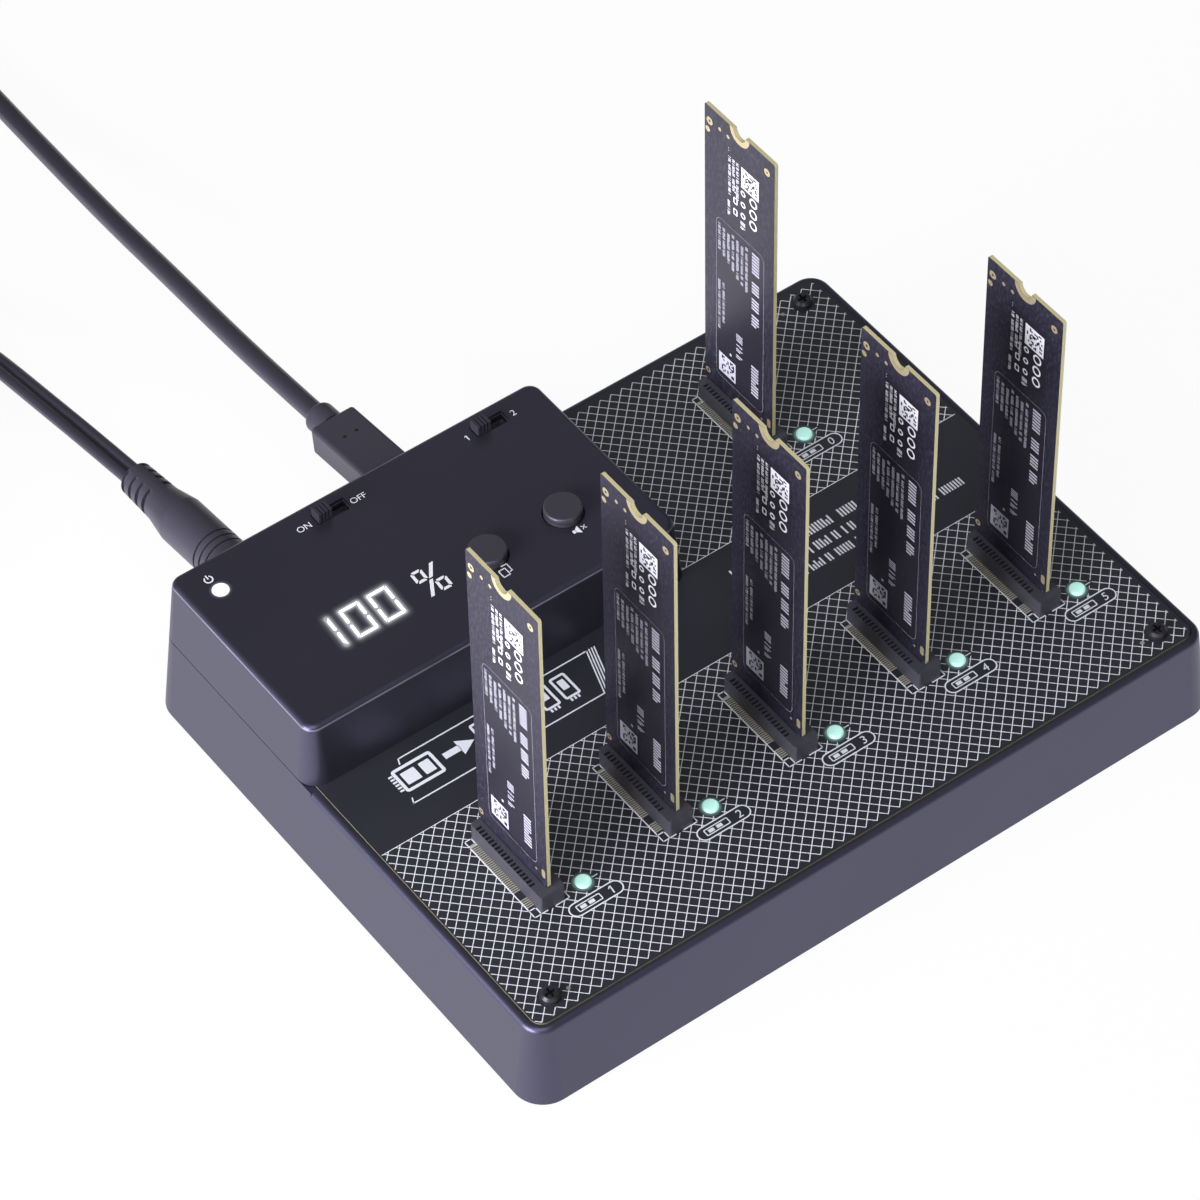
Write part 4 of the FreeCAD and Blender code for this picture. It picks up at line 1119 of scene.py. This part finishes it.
def painted_glow(name, low, high, strength_at, place, slot, look):
    """A thin sheet whose points carry the strength of the glow over them."""
    sheet = bmesh.new()
    wide = high[0] - low[0]
    tall = high[1] - low[1]
    centre = Matrix.Translation(((low[0] + high[0]) / 2, (low[1] + high[1]) / 2, 0))
    bmesh.ops.create_grid(sheet, x_segments=int(wide / glow_step), y_segments=int(tall / glow_step),
                          size=0.5, matrix=centre @ Matrix.Diagonal((wide, tall, 1, 1)))
    layer = sheet.verts.layers.float.new("glow")
    for vert in sheet.verts:
        vert[layer] = strength_at(vert.co.xy)
    dark = [f for f in sheet.faces if max(v[layer] for v in f.verts) < too_dark]
    bmesh.ops.delete(sheet, geom=dark, context="FACES")
    lay(sheet, name, place, "base", slot, look)


def number_glow(point):
    nearest = min(away_from(point, a, b) for a, b in lit) - stroke_width / 2
    return fall_off(nearest, 0.3, 0.33) + fall_off(nearest, 0.85, 0.11)


painted_glow("number_glow", (-64.5, 22.5), (-43.5, 37.0), number_glow, glow_sheet, "lens_white", white_glow)
print("number strokes", len(lit))

# %% [markdown]
# The power lamp and the six status lamps have the same kind of rim, drawn around their own middle.
# The middles come from the boxes of the CAD solids, so the rims stay with them.

# %% Rims of light around the lamps
lamp_radius = 1.6


def rim_glow(name, x, y, half, reach, strength, place, slot, look):
    """A square sheet around (x, y) with a round glow."""
    def strength_at(point):
        return fall_off((point - Vector((x, y))).length - lamp_radius, reach, strength)
    painted_glow(name, (x - half, y - half), (x + half, y + half), strength_at, place, slot, look)


lens_low, lens_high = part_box("power_lens")
lens_x = (lens_low.x + lens_high.x) / 2 / MM
lens_y = (lens_low.y + lens_high.y) / 2 / MM
rim_glow("power_glow", lens_x, lens_y, 3.6, 0.4, 0.14, glow_sheet, "lens_white", white_glow)
lamp_sheet = sheet_above(board_top, 1.5 * ink_lift)
for name in slots:
    rim_glow(name + "_glow", rows[name].x / MM + light_x, rows[name].y / MM + light_y, 3.3, 0.45, 0.3,
             lamp_sheet, "light_mint", mint_glow)
print("rims of light around", len(slots) + 1, "lamps")

# %% [markdown]
# The rest of the box's print is plain white ink: the percent sign in the same strokes as the number,
# ON and OFF beside the power switch, the numbers of the two modes, a power sign, and a sign for each
# button, which is two sheets for copying and a crossed-out loudspeaker.

# %% Prints on the box
box_print = bmesh.new()
sign_width = 0.9
for x0, y0 in ((-41.4, 29.75), (-38.5, 25.55)):
    stamp_strokes(box_print, x0, y0, x0 + 2.9, y0 + 3.5, sign_width)
stamp_bar(box_print, -37.55, 29.95, -36.65, 33.15, 0.7)
stamp_bar(box_print, -40.0, 25.75, -39.15, 29.55, 0.58)

word_y = 54.65
stamp_text(box_print, "ON", -50.4, word_y, 1.45)
stamp_text(box_print, "OFF", -37.6, word_y, 1.45)
stamp_one(box_print, -11.3, word_y, 1.5)
stamp_text(box_print, "2", -0.2, word_y, 1.5)

power_x = -72.7
power_y = 55.5
power_bar_high = 1.2
stamp_disc(box_print, power_x, power_y, 0.98, 0.68)
gap = [f for f in box_print.faces if abs(f.calc_center_median().x - power_x) < 0.42
       and 0 < f.calc_center_median().y - power_y < power_bar_high]
bmesh.ops.delete(box_print, geom=gap, context="FACES")
stamp_bar(box_print, power_x - 0.15, power_y + 0.1, power_x + 0.15, power_y + power_bar_high)

copy_x = -25.8
sign_y = 22.6
stamp_outline(box_print, copy_x - 0.45, sign_y - 0.3, 1.7, 2.1, 0.2, 0.22)
for x0, y0, x1, y1 in ((-0.15, 1.25, 1.3, 1.47), (1.08, -0.75, 1.3, 1.3), (0.6, -0.75, 1.2, -0.53)):
    stamp_bar(box_print, copy_x + x0, sign_y + y0, copy_x + x1, sign_y + y1)

quiet_x = -8.1
stamp_bar(box_print, quiet_x - 1.5, sign_y - 0.4, quiet_x - 0.9, sign_y + 0.4)
horn = ((-0.8, -0.4), (0.1, -1.05), (0.1, 1.05), (-0.8, 0.4))
box_print.faces.new([box_print.verts.new((quiet_x + x, sign_y + y, 0)) for x, y in horn])
for slope in (1, -1):
    stamp_bar(box_print, quiet_x + 0.95, sign_y - 0.5, quiet_x + 1.17, sign_y + 0.5, slope * 0.9)
lay(box_print, "box_print", box_sheet, "base", "case_plastic", box_ink)
print("box print on", round(box_top, 4))

# %% [markdown]
# The cards are the same board six times. Each carries two dark label films on its left face, with
# rows of strokes, rings and chequered squares in white and grey ink, gold around the mounting notch
# and a few gold points near the corners. A drawing counts from the top rear corner of the card: s
# runs towards the front and t runs down.

# %% Prints and gold on the cards
block_chance = 0.62


def stamp_blocks(sheet, x0, y0, cells, size, seed):
    """A square field of small blocks with a full rim, about two thirds of them inked inside."""
    chance = random.Random(seed)
    for row in range(cells):
        for column in range(cells):
            on_edge = row in (0, cells - 1) or column in (0, cells - 1)
            if on_edge or chance.random() < block_chance:
                stamp_bar(sheet, x0 + column * size, y0 - (row + 1) * size,
                          x0 + (column + 1) * size, y0 - row * size)


def stamp_frame(sheet, s0, t0, s1, t1, corner, line=None):
    stamp_outline(sheet, (s0 + s1) / 2, -(t0 + t1) / 2, s1 - s0, t1 - t0, corner, line)


lower_film = (3.7, 27.4, 18.9, 71.9, 1.6)


def card_film(sheet):
    stamp_frame(sheet, 7.0, 6.9, 17.6, 26.2, 0.6)
    stamp_frame(sheet, *lower_film)


def card_label(sheet):
    for i, (stop, seed) in enumerate(((19.5, 1), (18.2, 2), (19.0, 3))):
        stamp_row(sheet, 7.5 + i * 1.25, 8.3 + i * 1.25, 8.4, stop, 0.6, seed)
    stamp_blocks(sheet, 11.6, -8.3, 13, 0.42, 11)
    for t in (15.4, 18.4, 21.4):
        stamp_disc(sheet, 15.4, -t, 1.2, 0.78)
        stamp_disc(sheet, 12.2, -t + 0.2, 0.75, 0.4)
        stamp_outline(sheet, 9.8, -t - 0.6, 1.3, 1.7, 0.3, 0.3)
    stamp_row(sheet, 7.3, 8.1, 20.4, 24.6, 0.6, 4)
    stamp_row(sheet, 11.4, 12.9, 23.0, 25.4, 0.7, 5)


def card_drawing(sheet):
    stamp_frame(sheet, *lower_film, 0.05)
    for i in range(7):
        s = 4.3 + i * 1.45
        stamp_row(sheet, s, s + 0.8, 29.0 + 0.4 * (i % 3), 36.6 + 0.9 * i, 0.62, 40 + i)
    for i in range(2):
        s = 4.3 + i * 1.4
        stamp_row(sheet, s, s + 0.75, 44.7, 59.0 - 3 * i, 0.6, 50 + i)
    for t0, t1, seed in ((28.8, 50.5, 60), (60.5, 70.2, 61)):
        stamp_row(sheet, 15.1, 17.4, t0, t1, 1.7, seed)
    stamp_row(sheet, 10.2, 12.2, 55.5, 63.0, 1.1, 70)
    stamp_bar(sheet, 8.1, -63.6, 8.7, -63.0)
    stamp_blocks(sheet, 4.6, -65.0, 12, 0.45, 12)


def card_gold(sheet):
    """The plated ring around the notch, cut off at the card's edge, and the plated points."""
    stamp_disc(sheet, 11.0, 0.0, 3.1, 1.87)
    bmesh.ops.bisect_plane(sheet, geom=list(sheet.verts) + list(sheet.edges) + list(sheet.faces),
                           plane_co=(0, -0.02, 0), plane_no=(0, 1, 0), clear_outer=True)
    for s, t, radius, hole in (
        (1.6, 3.8, 0.95, 0.3), (19.6, 3.6, 0.9, 0.25), (1.0, 6.3, 0.7, 0.0), (4.8, 3.6, 0.45, 0.0),
        (7.4, 3.6, 0.45, 0.0), (7.6, 6.3, 0.16, 0.0), (7.6, 7.0, 0.16, 0.0), (1.0, 73.6, 0.75, 0.3),
    ):
        stamp_disc(sheet, s, -t, radius, hole)
    stamp_outline(sheet, 20.9, -72.6, 1.1, 2.4, 0.5)
    stamp_disc(sheet, 18.6, -73.2, 0.3)


film_look = plain_look("label_film", srgb(34, 32, 41), 0.36, grain_size=0.6, bump=0.05,
                       specular=0.6, tint=violet)
for name, (low, high) in card_box.items():
    for draw, part, lift, slot, look in (
        (card_film, "_film", 0.5 * ink_lift, "board_black", film_look),
        (card_label, "_label", ink_lift, "board_black", label_ink),
        (card_drawing, "_print", ink_lift, "board_black", card_ink),
        (card_gold, "_gold", ink_lift, "gold_plate", gold_look),
    ):
        left_face = sheet_on((low.x - lift * MM, high.y, high.z), (0, -1, 0), (0, 0, 1))
        sheet = bmesh.new()
        draw(sheet)
        lay(sheet, name + part, left_face, name + "_drive", slot, look)
print("cards printed")

# %% [markdown]
# The card's own material is the board's, in a bluer black, with two additions. Low on the tongue are
# the gold fingers, half a millimetre apart, which show when a card is pulled up. And fine traces
# under the mask give its faces a faint relief, so that they aren't as even as plastic.

# %% Card material
card_low = card_box["source"][0].z
finger_pitch = 0.5 * MM
finger_share = 0.68
finger_high = 2.9 * MM
finger_gold = srgb(214, 186, 120)
trace_scale = 2100
trace_grey = srgb(70, 68, 84)
cut_edge = srgb(206, 198, 152)


def card_mask():
    look, tree, shader, shade = start_look("card_mask", srgb(29, 28, 38), 0.42, grain_size=0.35, bump=0.08,
                                           drift=0.5, specular=0.7, tint=violet)
    longer = tree.nodes.new("ShaderNodeMapping")
    longer.inputs["Scale"].default_value = (1, 1, 0.4)
    tree.links.new(coordinates(tree), longer.inputs["Vector"])
    copper = calc(tree, "SUBTRACT", noise(tree, longer.outputs["Vector"], trace_scale, 4), 0.5)
    copper = clamp(tree, calc(tree, "MULTIPLY", copper, 4.0), 0.4)
    shade = blend(tree, copper, shade, trace_grey)
    facing = split(tree, coordinates(tree, "Normal"))
    place = split(tree, coordinates(tree))
    flat = calc(tree, "GREATER_THAN", calc(tree, "ABSOLUTE", facing["X"]), 0.5)
    along = calc(tree, "FRACT", calc(tree, "MULTIPLY", place["Y"], 1 / finger_pitch))
    finger = calc(tree, "MULTIPLY", calc(tree, "LESS_THAN", along, finger_share),
                  calc(tree, "LESS_THAN", place["Z"], card_low + finger_high))
    finger = calc(tree, "MULTIPLY", finger, flat)
    shade = blend(tree, finger, shade, finger_gold)
    edge = calc(tree, "SUBTRACT", 1.0, flat)
    tree.links.new(blend(tree, edge, shade, cut_edge), shader.inputs["Base Color"])
    tree.links.new(calc(tree, "MULTIPLY", finger, 0.9), shader.inputs["Metallic"])
    return look


dress(card_mask(), *[name + "_card" for name in slots])
print("cards dressed")

# %% [markdown]
# The moulding of the data plug has two small dents on its top that help the fingers. Their shade is
# painted: thin dark discs, laid on the drooping plug by the same two angles that its solid is turned by.

# %% Painted shade of the dents on the data plug
plug_along = (plug_end(usb_root, 1.0) - usb_root).normalized()
plug_across = plug_along.cross(Vector((0, 0, 1))).normalized()
plug_up = plug_across.cross(plug_along)
plug_half_height = 3.4 * MM
dent_lift = 0.01 * MM
painted_dent_shade = bmesh.new()
for x in (-1.45, 1.45):
    stamp_disc(painted_dent_shade, x, 15.2, 0.42)
dot_sheet = sheet_on(usb_root + plug_up * (plug_half_height + dent_lift), plug_across, plug_along)
# Painted shade: near-black discs stand for the shade in the two dents.
dent_shade_look = plain_look("plug_dent_shade", srgb(12, 12, 14), 0.7)
lay(painted_dent_shade, "plug_painted_dent_shade", dot_sheet, "base", "moulded_black", dent_shade_look)
print("plug leans", round(math.degrees(plug_droop), 1), "degrees")
